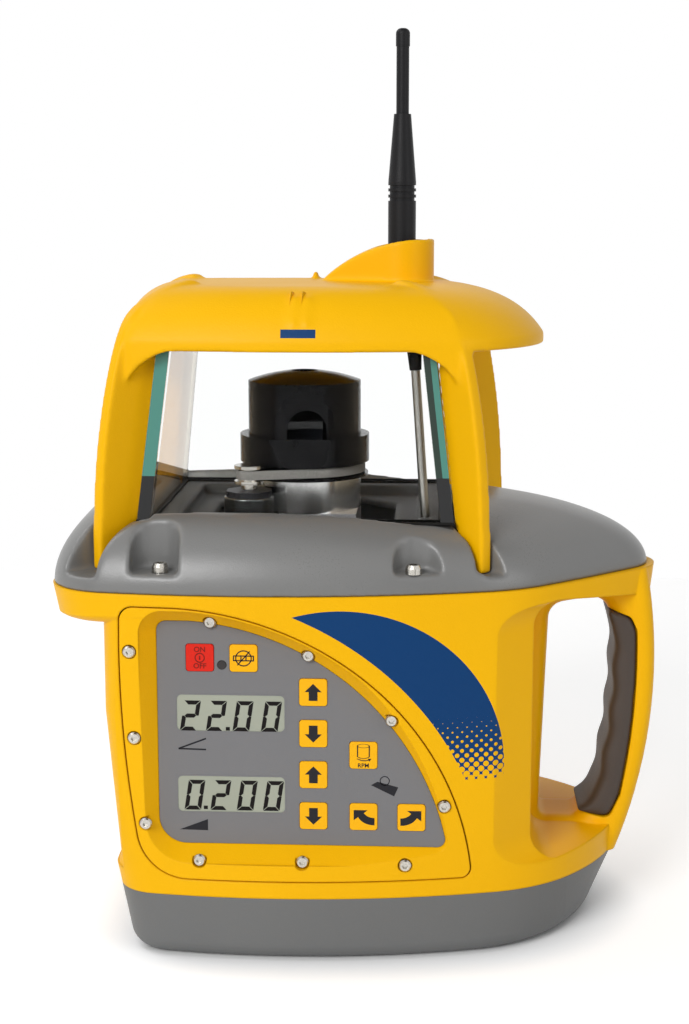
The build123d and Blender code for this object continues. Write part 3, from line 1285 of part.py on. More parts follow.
with BuildPart() as carrier_pins:
    for y in (-ring_out_r, carrier_r - pin_grip):
        with BuildSketch(front_plane(y)):
            with Locations((0, pivot_z)):
                Circle(pin_r)
        extrude(amount=-(ring_out_r - carrier_r + pin_grip))
save(carrier_pins, "carrier_pins")

with BuildPart() as carrier_plate:
    with BuildSketch(Plane.XY.offset(pivot_z - carrier_h / 2)):
        Circle(carrier_r)
    extrude(amount=carrier_h)
    with BuildSketch(Plane.XY.offset(carrier_top_z)):
        Circle(tower_r)
    extrude(amount=collar_low_z - carrier_top_z)
    with BuildSketch(Plane.XY.offset(saddle_low_z)):
        Polygon((saddle_left, -saddle_half_y), (saddle_right, -saddle_half_y), (saddle_right, saddle_half_y),
                (saddle_left, saddle_half_y), align=None)
    extrude(amount=drum_low_z - saddle_low_z)
    with BuildSketch(Plane.XY.offset(collar_low_z)):
        Circle(collar_r + slip)
    extrude(amount=drum_low_z - collar_low_z, mode=Mode.SUBTRACT)
    with BuildSketch(Plane.XY.offset(pivot_z - carrier_h / 2)):
        Circle(tube_r + slip)
    extrude(amount=collar_low_z, mode=Mode.SUBTRACT)
    with BuildSketch(front_plane(-carrier_r)):
        with Locations((0, pivot_z)):
            Circle(pin_r)
    extrude(amount=-pin_grip, mode=Mode.SUBTRACT)
    with BuildSketch(front_plane(carrier_r)):
        with Locations((0, pivot_z)):
            Circle(pin_r)
    extrude(amount=pin_grip, mode=Mode.SUBTRACT)
save(carrier_plate, "carrier_plate")

# Drive plate on the base posts
with BuildPart() as drive_plate:
    with BuildSketch(Plane.XY.offset(drive_plate_z)) as outline:
        Polygon((plate_left, plate_front), (plate_right, plate_front), (plate_right, plate_rear),
                (plate_left, plate_rear), align=None)
        fillet(outline.vertices(), post_r)
    extrude(amount=drive_plate_thick)
save(drive_plate, "drive_plate")

# Grade actuators: a barrel on a foot for each direction, with a bore for its plunger
drive_top_z = drive_plate_z + drive_plate_thick
cross_plane = Plane((-actuator_at, 0, cross_z), x_dir=(0, -1, 0), z_dir=(-1, 0, 0))
main_plane = Plane((0, -actuator_at, main_z), x_dir=(1, 0, 0), z_dir=(0, -1, 0))
with BuildPart() as grade_actuators:
    for seat, axis_z in ((cross_plane, cross_z), (main_plane, main_z)):
        with BuildSketch(seat):
            Circle(actuator_r)
        extrude(amount=actuator_len)
        with BuildSketch(seat.offset(foot_in)):
            with Locations((0, drive_top_z - axis_z)):
                Rectangle(2 * foot_half, axis_z - drive_top_z, align=(Align.CENTER, Align.MIN))
        extrude(amount=actuator_len - 2 * foot_in)
        with BuildSketch(seat):
            Circle(plunger_r + fit)
        extrude(amount=actuator_len, mode=Mode.SUBTRACT)
save(grade_actuators, "grade_actuators")


def plunger(seat, swing, sign):
    """A drive rod with the slotted fork that holds one ball of the tail pin."""
    slot_half = tail_ball_r + fork_gap
    fork_half = slot_half + fork_bar
    with BuildPart() as rod:
        with BuildSketch(seat.offset(plunger_reach)):
            Circle(plunger_r)
        extrude(amount=-(plunger_reach + actuator_at - slot_half - fork_bar / 2))
        with BuildSketch(seat.offset(-actuator_at + fork_half)):
            with Locations((sign * (swing[0] + swing[1]) / 2, 0)):
                Rectangle(swing[1] - swing[0] + 2 * fork_bar, fork_thick)
        extrude(amount=-2 * fork_half)
        with BuildSketch(seat.offset(-actuator_at + slot_half)):
            with Locations((sign * (swing[0] + swing[1]) / 2, 0)):
                Rectangle(swing[1] - swing[0], 2 * fork_thick)
        extrude(amount=-2 * slot_half, mode=Mode.SUBTRACT)
    return rod


cross_plunger = plunger(cross_plane, cross_swing, -1)
save(cross_plunger, "cross_plunger")
main_plunger = plunger(main_plane, main_swing, 1)
save(main_plunger, "main_plunger")

# Battery cradle and the four cells
cell_start = -cell_len - nub_len - slip
cradle_half_x = cell_len + nub_len + 2 * slip
cradle_top_z = cell_z[1] + cell_r + slip + cradle_wall
with BuildPart() as battery_cradle:
    with BuildSketch(Plane.XY.offset(cradle_low_z)):
        with Locations((0, cradle_back_y)):
            Rectangle(2 * (cradle_half_x + cradle_wall), cradle_front_y - cradle_back_y,
                      align=(Align.CENTER, Align.MIN))
    extrude(amount=cradle_top_z - cradle_low_z)
    with BuildSketch(front_plane(cradle_front_y)):
        for z in cell_z:
            with Locations((0, z)):
                Rectangle(2 * cradle_half_x, 2 * (cell_r + slip))
    extrude(amount=cradle_front_y - cradle_back_y - cradle_wall, mode=Mode.SUBTRACT)
save(battery_cradle, "battery_cradle")

with BuildPart() as battery_cells:
    for z in cell_z:
        for x in (cell_start, cell_start + cell_len + nub_len + slip):
            with BuildSketch(Plane.YZ.offset(x)):
                with Locations((cell_y, z)):
                    Circle(cell_r)
            extrude(amount=cell_len)
            with BuildSketch(Plane.YZ.offset(x + cell_len)):
                with Locations((cell_y, z)):
                    Circle(nub_r)
            extrude(amount=nub_len)
save(battery_cells, "battery_cells")

door_screw_y = door_seat_y + door_screw_seat

# Battery door: a lift-off panel flush with the casing, held by two coin screws
with BuildPart() as battery_door:
    with BuildSketch(front_plane(door_seat_y)) as door_face:
        Polygon((-door_half_x, door_low_z), (door_half_x, door_low_z), (door_half_x, door_top_z),
                (-door_half_x, door_top_z), align=None)
        fillet(door_face.vertices(), door_r)
    extrude(amount=-top_depth)
    add(casing.part, mode=Mode.INTERSECT)
    with BuildSketch(front_plane(door_seat_y)):
        Polygon((-door_pocket_half, door_open_low_z + door_r), (door_pocket_half, door_open_low_z + door_r),
                (door_pocket_half, door_open_top_z - door_r), (-door_pocket_half, door_open_top_z - door_r),
                align=None)
    extrude(amount=-door_pocket, mode=Mode.SUBTRACT)
    with BuildSketch(front_plane(door_seat_y)):
        with Locations(*door_screw_at):
            Circle(screw_r + slip)
    extrude(amount=-top_depth, mode=Mode.SUBTRACT)
    with BuildSketch(front_plane(door_screw_y)):
        with Locations(*door_screw_at):
            Circle(door_screw_r + run_gap)
    extrude(amount=-top_depth, mode=Mode.SUBTRACT)
save(battery_door, "battery_door")

with BuildPart() as door_screws:
    with BuildSketch(front_plane(door_screw_y)):
        with Locations(*door_screw_at):
            Circle(door_screw_r)
    extrude(amount=-door_screw_h)
    with BuildSketch(front_plane(door_screw_y + door_screw_h)):
        with Locations(*door_screw_at):
            Rectangle(2 * door_screw_r, coin_slot[0])
    extrude(amount=coin_slot[1], mode=Mode.SUBTRACT)
    with BuildSketch(front_plane(door_screw_y)):
        with Locations(*door_screw_at):
            Circle(screw_r)
    extrude(amount=door_screw_y - cavity_rear)
save(door_screws, "door_screws")
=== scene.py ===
import bpy
import bmesh
import math
from mathutils import Matrix, Vector


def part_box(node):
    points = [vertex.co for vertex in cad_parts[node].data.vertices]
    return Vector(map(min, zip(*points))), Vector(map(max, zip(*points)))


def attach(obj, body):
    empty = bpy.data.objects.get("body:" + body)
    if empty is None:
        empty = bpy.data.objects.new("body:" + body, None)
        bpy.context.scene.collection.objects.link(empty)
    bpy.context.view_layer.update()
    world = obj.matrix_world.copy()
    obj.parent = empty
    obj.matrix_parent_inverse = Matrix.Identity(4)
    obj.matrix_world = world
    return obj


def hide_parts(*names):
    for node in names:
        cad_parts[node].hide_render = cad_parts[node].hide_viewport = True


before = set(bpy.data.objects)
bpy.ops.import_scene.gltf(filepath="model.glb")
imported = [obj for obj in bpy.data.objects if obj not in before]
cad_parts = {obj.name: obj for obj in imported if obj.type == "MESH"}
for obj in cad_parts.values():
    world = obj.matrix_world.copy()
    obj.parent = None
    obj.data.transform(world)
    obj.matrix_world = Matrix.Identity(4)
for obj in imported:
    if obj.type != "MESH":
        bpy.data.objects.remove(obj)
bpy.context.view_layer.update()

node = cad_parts


# Base tray: the grey drafted tub that the laser stands on, moulded in plastic with a fine spark grain
# and screwed up into the yellow housing from below.
class Wire:
    """A value in a shader tree, so that a finish is written as ordinary sums."""

    def __init__(self, finish, socket):
        self.finish = finish
        self.socket = socket

    def sum(self, operation, left, right):
        return self.finish.node("ShaderNodeMath", {"operation": operation}, {0: left, 1: right})

    def __add__(self, other):
        return self.sum("ADD", self, other)

    def __radd__(self, other):
        return self.sum("ADD", other, self)

    def __sub__(self, other):
        return self.sum("SUBTRACT", self, other)

    def __rsub__(self, other):
        return self.sum("SUBTRACT", other, self)

    def __mul__(self, other):
        return self.sum("MULTIPLY", self, other)

    def __rmul__(self, other):
        return self.sum("MULTIPLY", other, self)

    def __truediv__(self, other):
        return self.sum("DIVIDE", self, other)

    def __pow__(self, other):
        return self.sum("POWER", self, other)

    def __lt__(self, other):
        return self.sum("LESS_THAN", self, other)

    def __gt__(self, other):
        return self.sum("GREATER_THAN", self, other)

    def __abs__(self):
        return self.sum("ABSOLUTE", self, 0.0)

    def __mod__(self, other):
        return self.sum("FLOORED_MODULO", self, other)


def colour(red, green, blue):
    """Linear colour of a paint given as it looks on a screen, from 0 to 255."""
    def linear(level):
        share = level / 255
        return share / 12.92 if share <= 0.04045 else ((share + 0.055) / 1.055) ** 2.4
    return (linear(red), linear(green), linear(blue), 1.0)


class Finish:
    """One material: a Principled surface and the nodes that feed it."""

    def __init__(self, name):
        self.material = bpy.data.materials.new(name)
        self.material.use_nodes = True
        self.tree = self.material.node_tree
        self.tree.nodes.clear()
        self.output = self.tree.nodes.new("ShaderNodeOutputMaterial")
        self.surface = self.tree.nodes.new("ShaderNodeBsdfPrincipled")
        self.tree.links.new(self.surface.outputs[0], self.output.inputs["Surface"])

    def feed(self, socket, value):
        if isinstance(value, Wire):
            self.tree.links.new(value.socket, socket)
        else:
            socket.default_value = value

    def node(self, kind, settings, sockets, out=0):
        """Adds a node of any type, with its settings first and then its sockets' values or links."""
        made = self.tree.nodes.new(kind)
        for name, value in settings.items():
            setattr(made, name, value)
        for name, value in sockets.items():
            self.feed(made.inputs[name], value)
        return Wire(self, made.outputs[out])

    def set(self, **sockets):
        for name, value in sockets.items():
            self.feed(self.surface.inputs[name.replace("_", " ")], value)

    def fed(self, name):
        """What already feeds a socket of the surface."""
        return Wire(self, self.surface.inputs[name].links[0].from_socket)

    def place(self):
        return self.node("ShaderNodeTexCoord", {}, {}, "Object")

    def along(self, axis):
        """The object coordinate along X, Y or Z, in metres."""
        return self.node("ShaderNodeSeparateXYZ", {}, {0: self.place()}, axis)

    def noise(self, scale, detail=2.0, stretch=(1.0, 1.0, 1.0)):
        where = self.node("ShaderNodeMapping", {}, {"Vector": self.place(), "Scale": stretch})
        return self.node("ShaderNodeTexNoise", {}, {"Vector": where, "Scale": scale, "Detail": detail})

    def blend(self, share, first, second):
        """Mixes two colours by a share from 0 to 1."""
        return self.node("ShaderNodeMix", {"data_type": "RGBA"}, {0: share, 6: first, 7: second}, 2)

    def bump(self, height, strength, depth, edge=0.0):
        """A fine relief, over edges that are rounded off by a radius where one is given."""
        sockets = {"Height": height, "Strength": strength, "Distance": depth}
        if edge:
            sockets["Normal"] = self.node("ShaderNodeBevel", {"samples": 6}, {"Radius": edge})
        return self.node("ShaderNodeBump", {}, sockets)


def moulded(name, paint, dark, rough, grain, depth, edge=0.0, shine=0.14):
    """Moulded plastic: a spark-grained skin with slightly uneven gloss and tone, and soft edges."""
    finish = Finish(name)
    skin = finish.noise(grain, 3.0)
    cloud = finish.noise(14.0, 3.0)
    finish.set(Base_Color=finish.blend(cloud * 0.5 + skin * 0.25, paint, dark), Specular_IOR_Level=shine,
               Roughness=rough + (cloud - 0.5) * 0.12 + (skin - 0.5) * 0.1,
               Normal=finish.bump(skin, 0.35, depth, edge))
    return finish


def dress(finish, *names):
    """Gives a finish to the named nodes of the frame."""
    for name in names:
        slots = node[name].data.materials
        for place in range(len(slots)):
            slots[place] = finish.material


base_grey = moulded("base_grey", colour(118, 119, 119), colour(103, 104, 104), 0.46, 1500.0, 0.0002, 0.001)
dress(base_grey, "base_tray")


# Tripod thread and base screws: a turned brass insert in the tray's boss, and plated steel screws
# that are driven up through the tray's pockets.
def metal(name, tone, dark, rough, scale, stretch):
    """Machined metal: marks that stretch one way and a little uneven polish; tool marks, but painted
    reflection streaks on the drum.
    """
    finish = Finish(name)
    marks = finish.noise(scale, 4.0, stretch)
    cloud = finish.noise(30.0, 2.0)
    finish.set(Base_Color=finish.blend(marks, tone, dark), Metallic=1.0,
               Roughness=rough + (marks - 0.5) * 0.15 + (cloud - 0.5) * 0.1,
               Normal=finish.bump(marks, 0.12, 0.0001))
    return finish


brass = metal("turned_brass", colour(215, 190, 120), colour(180, 150, 85), 0.3, 900.0, (1, 1, 6))
screw_steel = metal("plated_screws", colour(215, 212, 205), colour(165, 160, 150), 0.24, 1400.0, (1, 1, 1))
dress(brass, "tripod_insert", "antenna_jack")
dress(screw_steel, "base_screws", "door_screws")

# Main housing, keypad frame and battery door: yellow polycarbonate mouldings with a fine grain. A blue
# crescent is printed on the front along the frame's arc, and a field of yellow dots thins out in its foot.
paint_yellow, deep_yellow = colour(248, 188, 0), colour(234, 172, 0)
print_blue = colour(8, 58, 108)
shell_yellow = moulded("shell_yellow", paint_yellow, deep_yellow, 0.42, 1300.0, 0.0002, 0.0008)
dress(shell_yellow, "keypad_bezel", "battery_door")

frame_arc = (-0.054, 0.0279, 0.1405)
sail_arc = (0.0200, 0.0880, 0.0720)
sail_foot_z, dot_top_z, dot_pitch, front_y = 0.0830, 0.1120, 0.0042, -0.05

housing_yellow = moulded("housing_yellow", paint_yellow, deep_yellow, 0.42, 1300.0, 0.0002, 0.0015)
print_x = housing_yellow.along("X")
print_y = housing_yellow.along("Y")
print_z = housing_yellow.along("Z")


def within(arc):
    """1 inside a circle on the front, given as (x, z, radius), and 0 outside it."""
    return (print_x - arc[0]) ** 2.0 + (print_z - arc[1]) ** 2.0 < arc[2] ** 2


dot_x = abs((print_x + print_z) % dot_pitch / dot_pitch - 0.5)
dot_z = abs((print_x - print_z) % dot_pitch / dot_pitch - 0.5)
dot_size = (dot_top_z - print_z) / (dot_top_z - sail_foot_z) * 0.55
dots = dot_x ** 2.0 + dot_z ** 2.0 < abs(dot_size) * dot_size
printed = within(sail_arc) * (1 - within(frame_arc)) * (1 - dots)
printed = printed * (print_z > sail_foot_z) * (print_y < front_y)
housing_yellow.set(Base_Color=housing_yellow.blend(printed, housing_yellow.fed("Base Color"), print_blue))
dress(housing_yellow, "main_housing")

# Hand grip: a brown-grey rubber sleeve with finger waves, moulded over the handle's core. Its finger side is
# rounded into a full, soft crown.
most_triangles = 170000


def evaluated(form):
    """Plain mesh of an object with its modifiers applied."""
    return bpy.data.meshes.new_from_object(form.evaluated_get(bpy.context.evaluated_depsgraph_get()))


def softened(name, grain, passes, finish, cuts=(), adds=()):
    """A copy of a frame node with its edges worn round: cut, added to, remeshed finely and then smoothed.

    Each pass is a number of rounds and a test that says which points it smooths."""
    copy = bmesh.new()
    copy.from_mesh(node[name].data)
    bmesh.ops.remove_doubles(copy, verts=copy.verts, dist=1e-6)
    mesh = bpy.data.meshes.new(name + "_form")
    copy.to_mesh(mesh)
    copy.free()
    form = bpy.data.objects.new(name + "_form", mesh)
    bpy.context.scene.collection.objects.link(form)
    blades = [bpy.data.objects.new(name + "_blade", cut) for cut in cuts]
    for blade in blades:
        bpy.context.scene.collection.objects.link(blade)
        taken = form.modifiers.new("taken", "BOOLEAN")
        taken.operation = "DIFFERENCE"
        taken.object = blade
    whole = bmesh.new()
    whole.from_mesh(evaluated(form))
    for add in adds:
        whole.from_mesh(add)
    whole.to_mesh(mesh)
    whole.free()
    form.modifiers.clear()
    for blade in blades:
        bpy.data.objects.remove(blade)
    skin = form.modifiers.new("skin", "REMESH")
    skin.mode = "VOXEL"
    skin.voxel_size = grain
    work = bmesh.new()
    work.from_mesh(evaluated(form))
    for rounds, chosen in passes:
        loose = [vert for vert in work.verts if chosen(vert.co)]
        for _ in range(rounds):
            bmesh.ops.smooth_vert(work, verts=loose, factor=0.5,
                                  use_axis_x=True, use_axis_y=True, use_axis_z=True)
    for face in work.faces:
        face.smooth = True
    work.to_mesh(mesh)
    work.free()
    form.modifiers.clear()
    thin = form.modifiers.new("thin", "DECIMATE")
    thin.ratio = min(1.0, most_triangles / (2 * len(mesh.polygons)))
    soft = evaluated(form)
    bpy.data.objects.remove(form)
    soft.materials.clear()
    soft.materials.append(finish.material)
    piece = bpy.data.objects.new(name + "_soft", soft)
    bpy.context.scene.collection.objects.link(piece)
    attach(piece, "base")
    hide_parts(name)


grip_rubber = moulded("grip_rubber", colour(76, 67, 61), colour(60, 52, 47), 0.5, 2200.0, 0.0002, 0.0, 0.3)
grip_low, grip_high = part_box("handle_grip")
crown_x, crown_lean, crown_bow, crown_reach = 0.1430, 0.008, 0.012, 0.014


def on_crown(point):
    """True near the grip's finger side, which bows from its head to its foot."""
    share = (grip_high.z - point.z) / (grip_high.z - grip_low.z)
    return point.x < crown_x - crown_lean * share + crown_bow * share * (1 - share) + crown_reach


softened("handle_grip", 0.0009, [(40, on_crown)], grip_rubber)

# Top cover: a domed grey moulding with a satin spark grain. It closes the housing and holds the glazing, and
# is screwed down in four pockets. Its front ends round down to the slots that take the roof's fins.
fin_feet = [(-0.0863, -0.0660), (0.0832, -0.0660), (-0.0920, 0.0680), (0.0920, 0.0680)]
fin_half, fin_room, fin_foot_z, fin_heel_z = 0.0031, 0.0009, 0.1725, 0.1905
fin_heel_in, slot_in, slot_out, cover_top_z = 0.0132, 0.0140, -0.0300, 0.2000
lobe_ends = [(-0.0620, 0.0220, 0.1720, 0.0230), (0.0620, 0.0168, 0.1740, 0.0213)]
lobe_front, lobe_clear = -0.130, 0.210


def prism(near, far):
    """Closed mesh between two like outlines in space."""
    body = bmesh.new()
    rings = [[body.verts.new(point) for point in outline] for outline in (near, far)]
    body.faces.new(rings[0])
    body.faces.new(rings[1])
    for place in range(len(near)):
        after = (place + 1) % len(near)
        body.faces.new([rings[0][place], rings[0][after], rings[1][after], rings[1][place]])
    bmesh.ops.recalc_face_normals(body, faces=body.faces)
    mesh = bpy.data.meshes.new("prism")
    body.to_mesh(mesh)
    body.free()
    return mesh


def on_fin(foot, outline, start, end):
    """Prism over an outline of (inwards, height) on a fin's plane, from start to end across the fin."""
    side_x, side_y = math.copysign(0.5 ** 0.5, foot[0]), math.copysign(0.5 ** 0.5, foot[1])
    out, across = Vector((side_x, side_y, 0)), Vector((side_x, -side_y, 0))
    rings = [[Vector((*foot, height)) - out * inwards + across * side for inwards, height in outline]
             for side in (start, end)]
    return prism(*rings)


def lobe_blade(end, foot):
    """What is taken off beside a fin, so that the cover's front ends round down to it."""
    middle, reach, low, rise = end
    side = math.copysign(1, middle)
    arc = [(middle + side * reach * math.cos(turn), low + rise * math.sin(turn))
           for turn in [math.pi / 2 * step / 24 for step in range(25)]]
    outline = arc + [(middle, lobe_clear), (-side * lobe_front, lobe_clear), (-side * lobe_front, low)]
    near = [(x, lobe_front, z) for x, z in outline]
    far = [(x, foot[1] + abs(foot[0]) - abs(x), z) for x, z in outline]
    return prism(near, far)


slot_outline = [(slot_out, fin_foot_z), (slot_in, fin_foot_z), (slot_in, cover_top_z),
                (slot_out, cover_top_z)]
slot_cuts = [on_fin(foot, slot_outline, -fin_half - fin_room, fin_half + fin_room) for foot in fin_feet]
lobe_cuts = [lobe_blade(end, foot) for end, foot in zip(lobe_ends, fin_feet)]
bore_x, bore_y, bore_z = (0.0493, 0.0547), (0.0740, 0.0792), (0.1662, 0.1744)
bore_fills = []
for side in (-1, 1):
    near, far = side * bore_y[0], side * bore_y[1]
    plan = [(bore_x[0], near), (bore_x[1], near), (bore_x[1], far), (bore_x[0], far)]
    bore_fills.append(prism(*[[(x, y, z) for x, y in plan] for z in bore_z]))

cover_grey = moulded("cover_grey", colour(122, 122, 121), colour(107, 107, 106), 0.3, 1700.0, 0.0002, 0.0015,
                     0.5)
# Painted shade: the deck inside the glazing is coloured dark grey for the shade under the roof, and is also
# made rougher.
deck_half_x, deck_half_y, deck_top_z = 0.0690, 0.0610, 0.1934
deck_painted_shade = (abs(cover_grey.along("X")) < deck_half_x) * (abs(cover_grey.along("Y")) < deck_half_y)
deck_painted_shade = deck_painted_shade * (cover_grey.along("Z") < deck_top_z)
cover_grey.set(Base_Color=cover_grey.blend(deck_painted_shade, cover_grey.fed("Base Color"), colour(62, 62, 62)),
               Roughness=cover_grey.fed("Roughness") + deck_painted_shade * 0.45)
dome_low_z = 0.1675


def on_dome(point):
    """True above the cover's rim, which keeps its edge."""
    return point.z > dome_low_z


softened("top_cover", 0.0009, [(7, on_dome)], cover_grey, slot_cuts + lobe_cuts, bore_fills)

# Roof: one yellow moulding that stands over the glazing on four thin corner fins, with two small aiming ribs
# on its front edge and a plain blue bar printed below them.
mark_x, mark_z, mark_half, mark_high = 0.0020, 0.2755, 0.0075, 0.0018
roof_yellow = moulded("roof_yellow", paint_yellow, deep_yellow, 0.42, 1300.0, 0.0002, 0.0015)
mark = (abs(roof_yellow.along("X") - mark_x) < mark_half) * (abs(roof_yellow.along("Z") - mark_z) < mark_high)
mark = mark * (roof_yellow.along("Y") < front_y)
roof_yellow.set(Base_Color=roof_yellow.blend(mark, roof_yellow.fed("Base Color"), print_blue))

visor_low_z, visor_high_z, visor_out, visor_in, visor_side_x = 0.2530, 0.2672, 0.0100, 0.0560, 0.1300
visor_plan = []
for foot in (fin_feet[1], fin_feet[3]):
    side = math.copysign(1, foot[1])
    face_x, face_y = foot[0] + fin_half * 0.5 ** 0.5, foot[1] - side * fin_half * 0.5 ** 0.5
    visor_plan.append([(face_x + visor_out, face_y + side * visor_out),
                       (visor_in, face_y - side * (face_x - visor_in))])
visor_edge = [visor_plan[0][0], visor_plan[0][1], visor_plan[1][1], visor_plan[1][0],
              (visor_side_x, visor_plan[1][0][1]), (visor_side_x, visor_plan[0][0][1])]
visor_cuts = [prism(*[[(x, y, z) for x, y in visor_edge] for z in (visor_low_z, visor_high_z)])]

fin_heel_lean, fin_top_z, fin_tuck = 0.0020, 0.2600, 0.0080
pane_lean, pane_side_x, pane_foot_z = 0.1157, 0.0690, 0.194
heel_outline = [(0, fin_foot_z), (fin_heel_in, fin_foot_z), (fin_heel_in + fin_heel_lean, fin_heel_z),
                (0, fin_heel_z)]
fin_heels = [on_fin(foot, heel_outline, -fin_half, fin_half) for foot in fin_feet]
for foot in fin_feet:
    pane_gap = abs(foot[0]) - pane_side_x - fin_half * 0.5 ** 0.5
    low, high = [(pane_gap + (z - pane_foot_z) * pane_lean) * 2 ** 0.5 for z in (fin_heel_z, fin_top_z)]
    inner_edge = [(low, fin_heel_z), (high, fin_top_z), (high - fin_tuck, fin_top_z),
                  (low - fin_tuck, fin_heel_z)]
    fin_heels.append(on_fin(foot, inner_edge, -fin_half, fin_half))

ridge_reach, visor_x = 0.014142, 0.0860
sight_middle, sight_reach, sight_back, sight_low = 0.0030, 0.0085, -0.0420, 0.2770


def everywhere(point):
    return True


def on_ridge(point):
    """True near a fin's plane, where its rib runs into the roof, but not along the visor."""
    aside = [(point.x - foot[0]) * math.copysign(1, foot[1]) - (point.y - foot[1]) * math.copysign(1, foot[0])
             for foot in fin_feet]
    return point.x < visor_x and min(abs(far) for far in aside) < ridge_reach


def at_sights(point):
    """True over the two aiming ribs, which are levelled here and set on again as sharp wedges below."""
    return abs(point.x - sight_middle) < sight_reach and point.y < sight_back and point.z > sight_low


softened("roof_cage", 0.00065, [(5, everywhere), (12, on_ridge), (60, at_sights)], roof_yellow,
         visor_cuts, fin_heels)

sight_x = [-0.0019, 0.0031]
sight_corners = [(-0.0006, -0.0606, 0.2830), (0.0004, -0.0535, 0.2930), (-0.0016, -0.0480, 0.2915),
                 (0.0021, -0.0480, 0.2915), (0.0002, -0.0520, 0.2850)]
ribs = bmesh.new()
for x in sight_x:
    corners = [ribs.verts.new((x + across, deep, high)) for across, deep, high in sight_corners]
    bmesh.ops.convex_hull(ribs, input=corners)
bmesh.ops.recalc_face_normals(ribs, faces=ribs.faces)
rib_mesh = bpy.data.meshes.new("roof_sights")
ribs.to_mesh(rib_mesh)
ribs.free()
rib_mesh.materials.append(roof_yellow.material)
roof_sights = bpy.data.objects.new("roof_sights", rib_mesh)
bpy.context.scene.collection.objects.link(roof_sights)
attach(roof_sights, "base")


# Cover screws and panel screws: plated socket heads. Four hold the cover down in its pockets and ten hold the
# keypad frame, and all are one pattern that is set on the seats of the frame's own screws.
def islands(name):
    """Lowest and highest corner of each separate solid of a frame node."""
    shape = bmesh.new()
    shape.from_mesh(node[name].data)
    bmesh.ops.remove_doubles(shape, verts=shape.verts, dist=1e-6)
    waiting, boxes = set(shape.verts), []
    while waiting:
        front, solid = [waiting.pop()], []
        while front:
            vert = front.pop()
            solid.append(vert.co.copy())
            for edge in vert.link_edges:
                other = edge.other_vert(vert)
                if other in waiting:
                    waiting.remove(other)
                    front.append(other)
        boxes.append([Vector([pick(point[axis] for point in solid) for axis in range(3)])
                      for pick in (min, max)])
    shape.free()
    return sorted(boxes, key=lambda box: (round(box[0].x, 4), round(box[0].y, 4), round(box[0].z, 4)))


class Pattern:
    """A Geometry Nodes tree that sets one shape on each point of a mesh."""

    def __init__(self, name):
        self.tree = bpy.data.node_groups.new(name, "GeometryNodeTree")
        self.tree.interface.new_socket("Seats", in_out="INPUT", socket_type="NodeSocketGeometry")
        self.tree.interface.new_socket("Heads", in_out="OUTPUT", socket_type="NodeSocketGeometry")
        self.entry = self.tree.nodes.new("NodeGroupInput")
        self.exit = self.tree.nodes.new("NodeGroupOutput")
        self.sizes = {}

    def size(self, name, value):
        socket = self.tree.interface.new_socket(name, in_out="INPUT", socket_type="NodeSocketFloat")
        self.sizes[socket.identifier] = value
        return self.entry.outputs[name]

    def node(self, kind, settings, sockets):
        made = self.tree.nodes.new(kind)
        for name, value in settings.items():
            setattr(made, name, value)
        for name, value in sockets.items():
            for part in value if isinstance(value, list) else [value]:
                if isinstance(part, bpy.types.NodeSocket):
                    self.tree.links.new(part, made.inputs[name])
                else:
                    made.inputs[name].default_value = part
        return made.outputs[0]

    def sum(self, operation, left, right):
        return self.node("ShaderNodeMath", {"operation": operation}, {0: left, 1: right})

    def raised(self, shape, height):
        lift = self.node("ShaderNodeCombineXYZ", {}, {"Z": height})
        return self.node("GeometryNodeTransform", {}, {"Geometry": shape, "Translation": lift})

    def made(self, name, seats):
        """Plain mesh of the tree on a list of points."""
        points = bpy.data.meshes.new(name + "_seats")
        points.from_pydata(seats, [], [])
        holder = bpy.data.objects.new(name + "_seats", points)
        bpy.context.scene.collection.objects.link(holder)
        maker = holder.modifiers.new("pattern", "NODES")
        maker.node_group = self.tree
        for identifier, value in self.sizes.items():
            maker[identifier] = value
        mesh = evaluated(holder)
        bpy.data.objects.remove(holder)
        return mesh


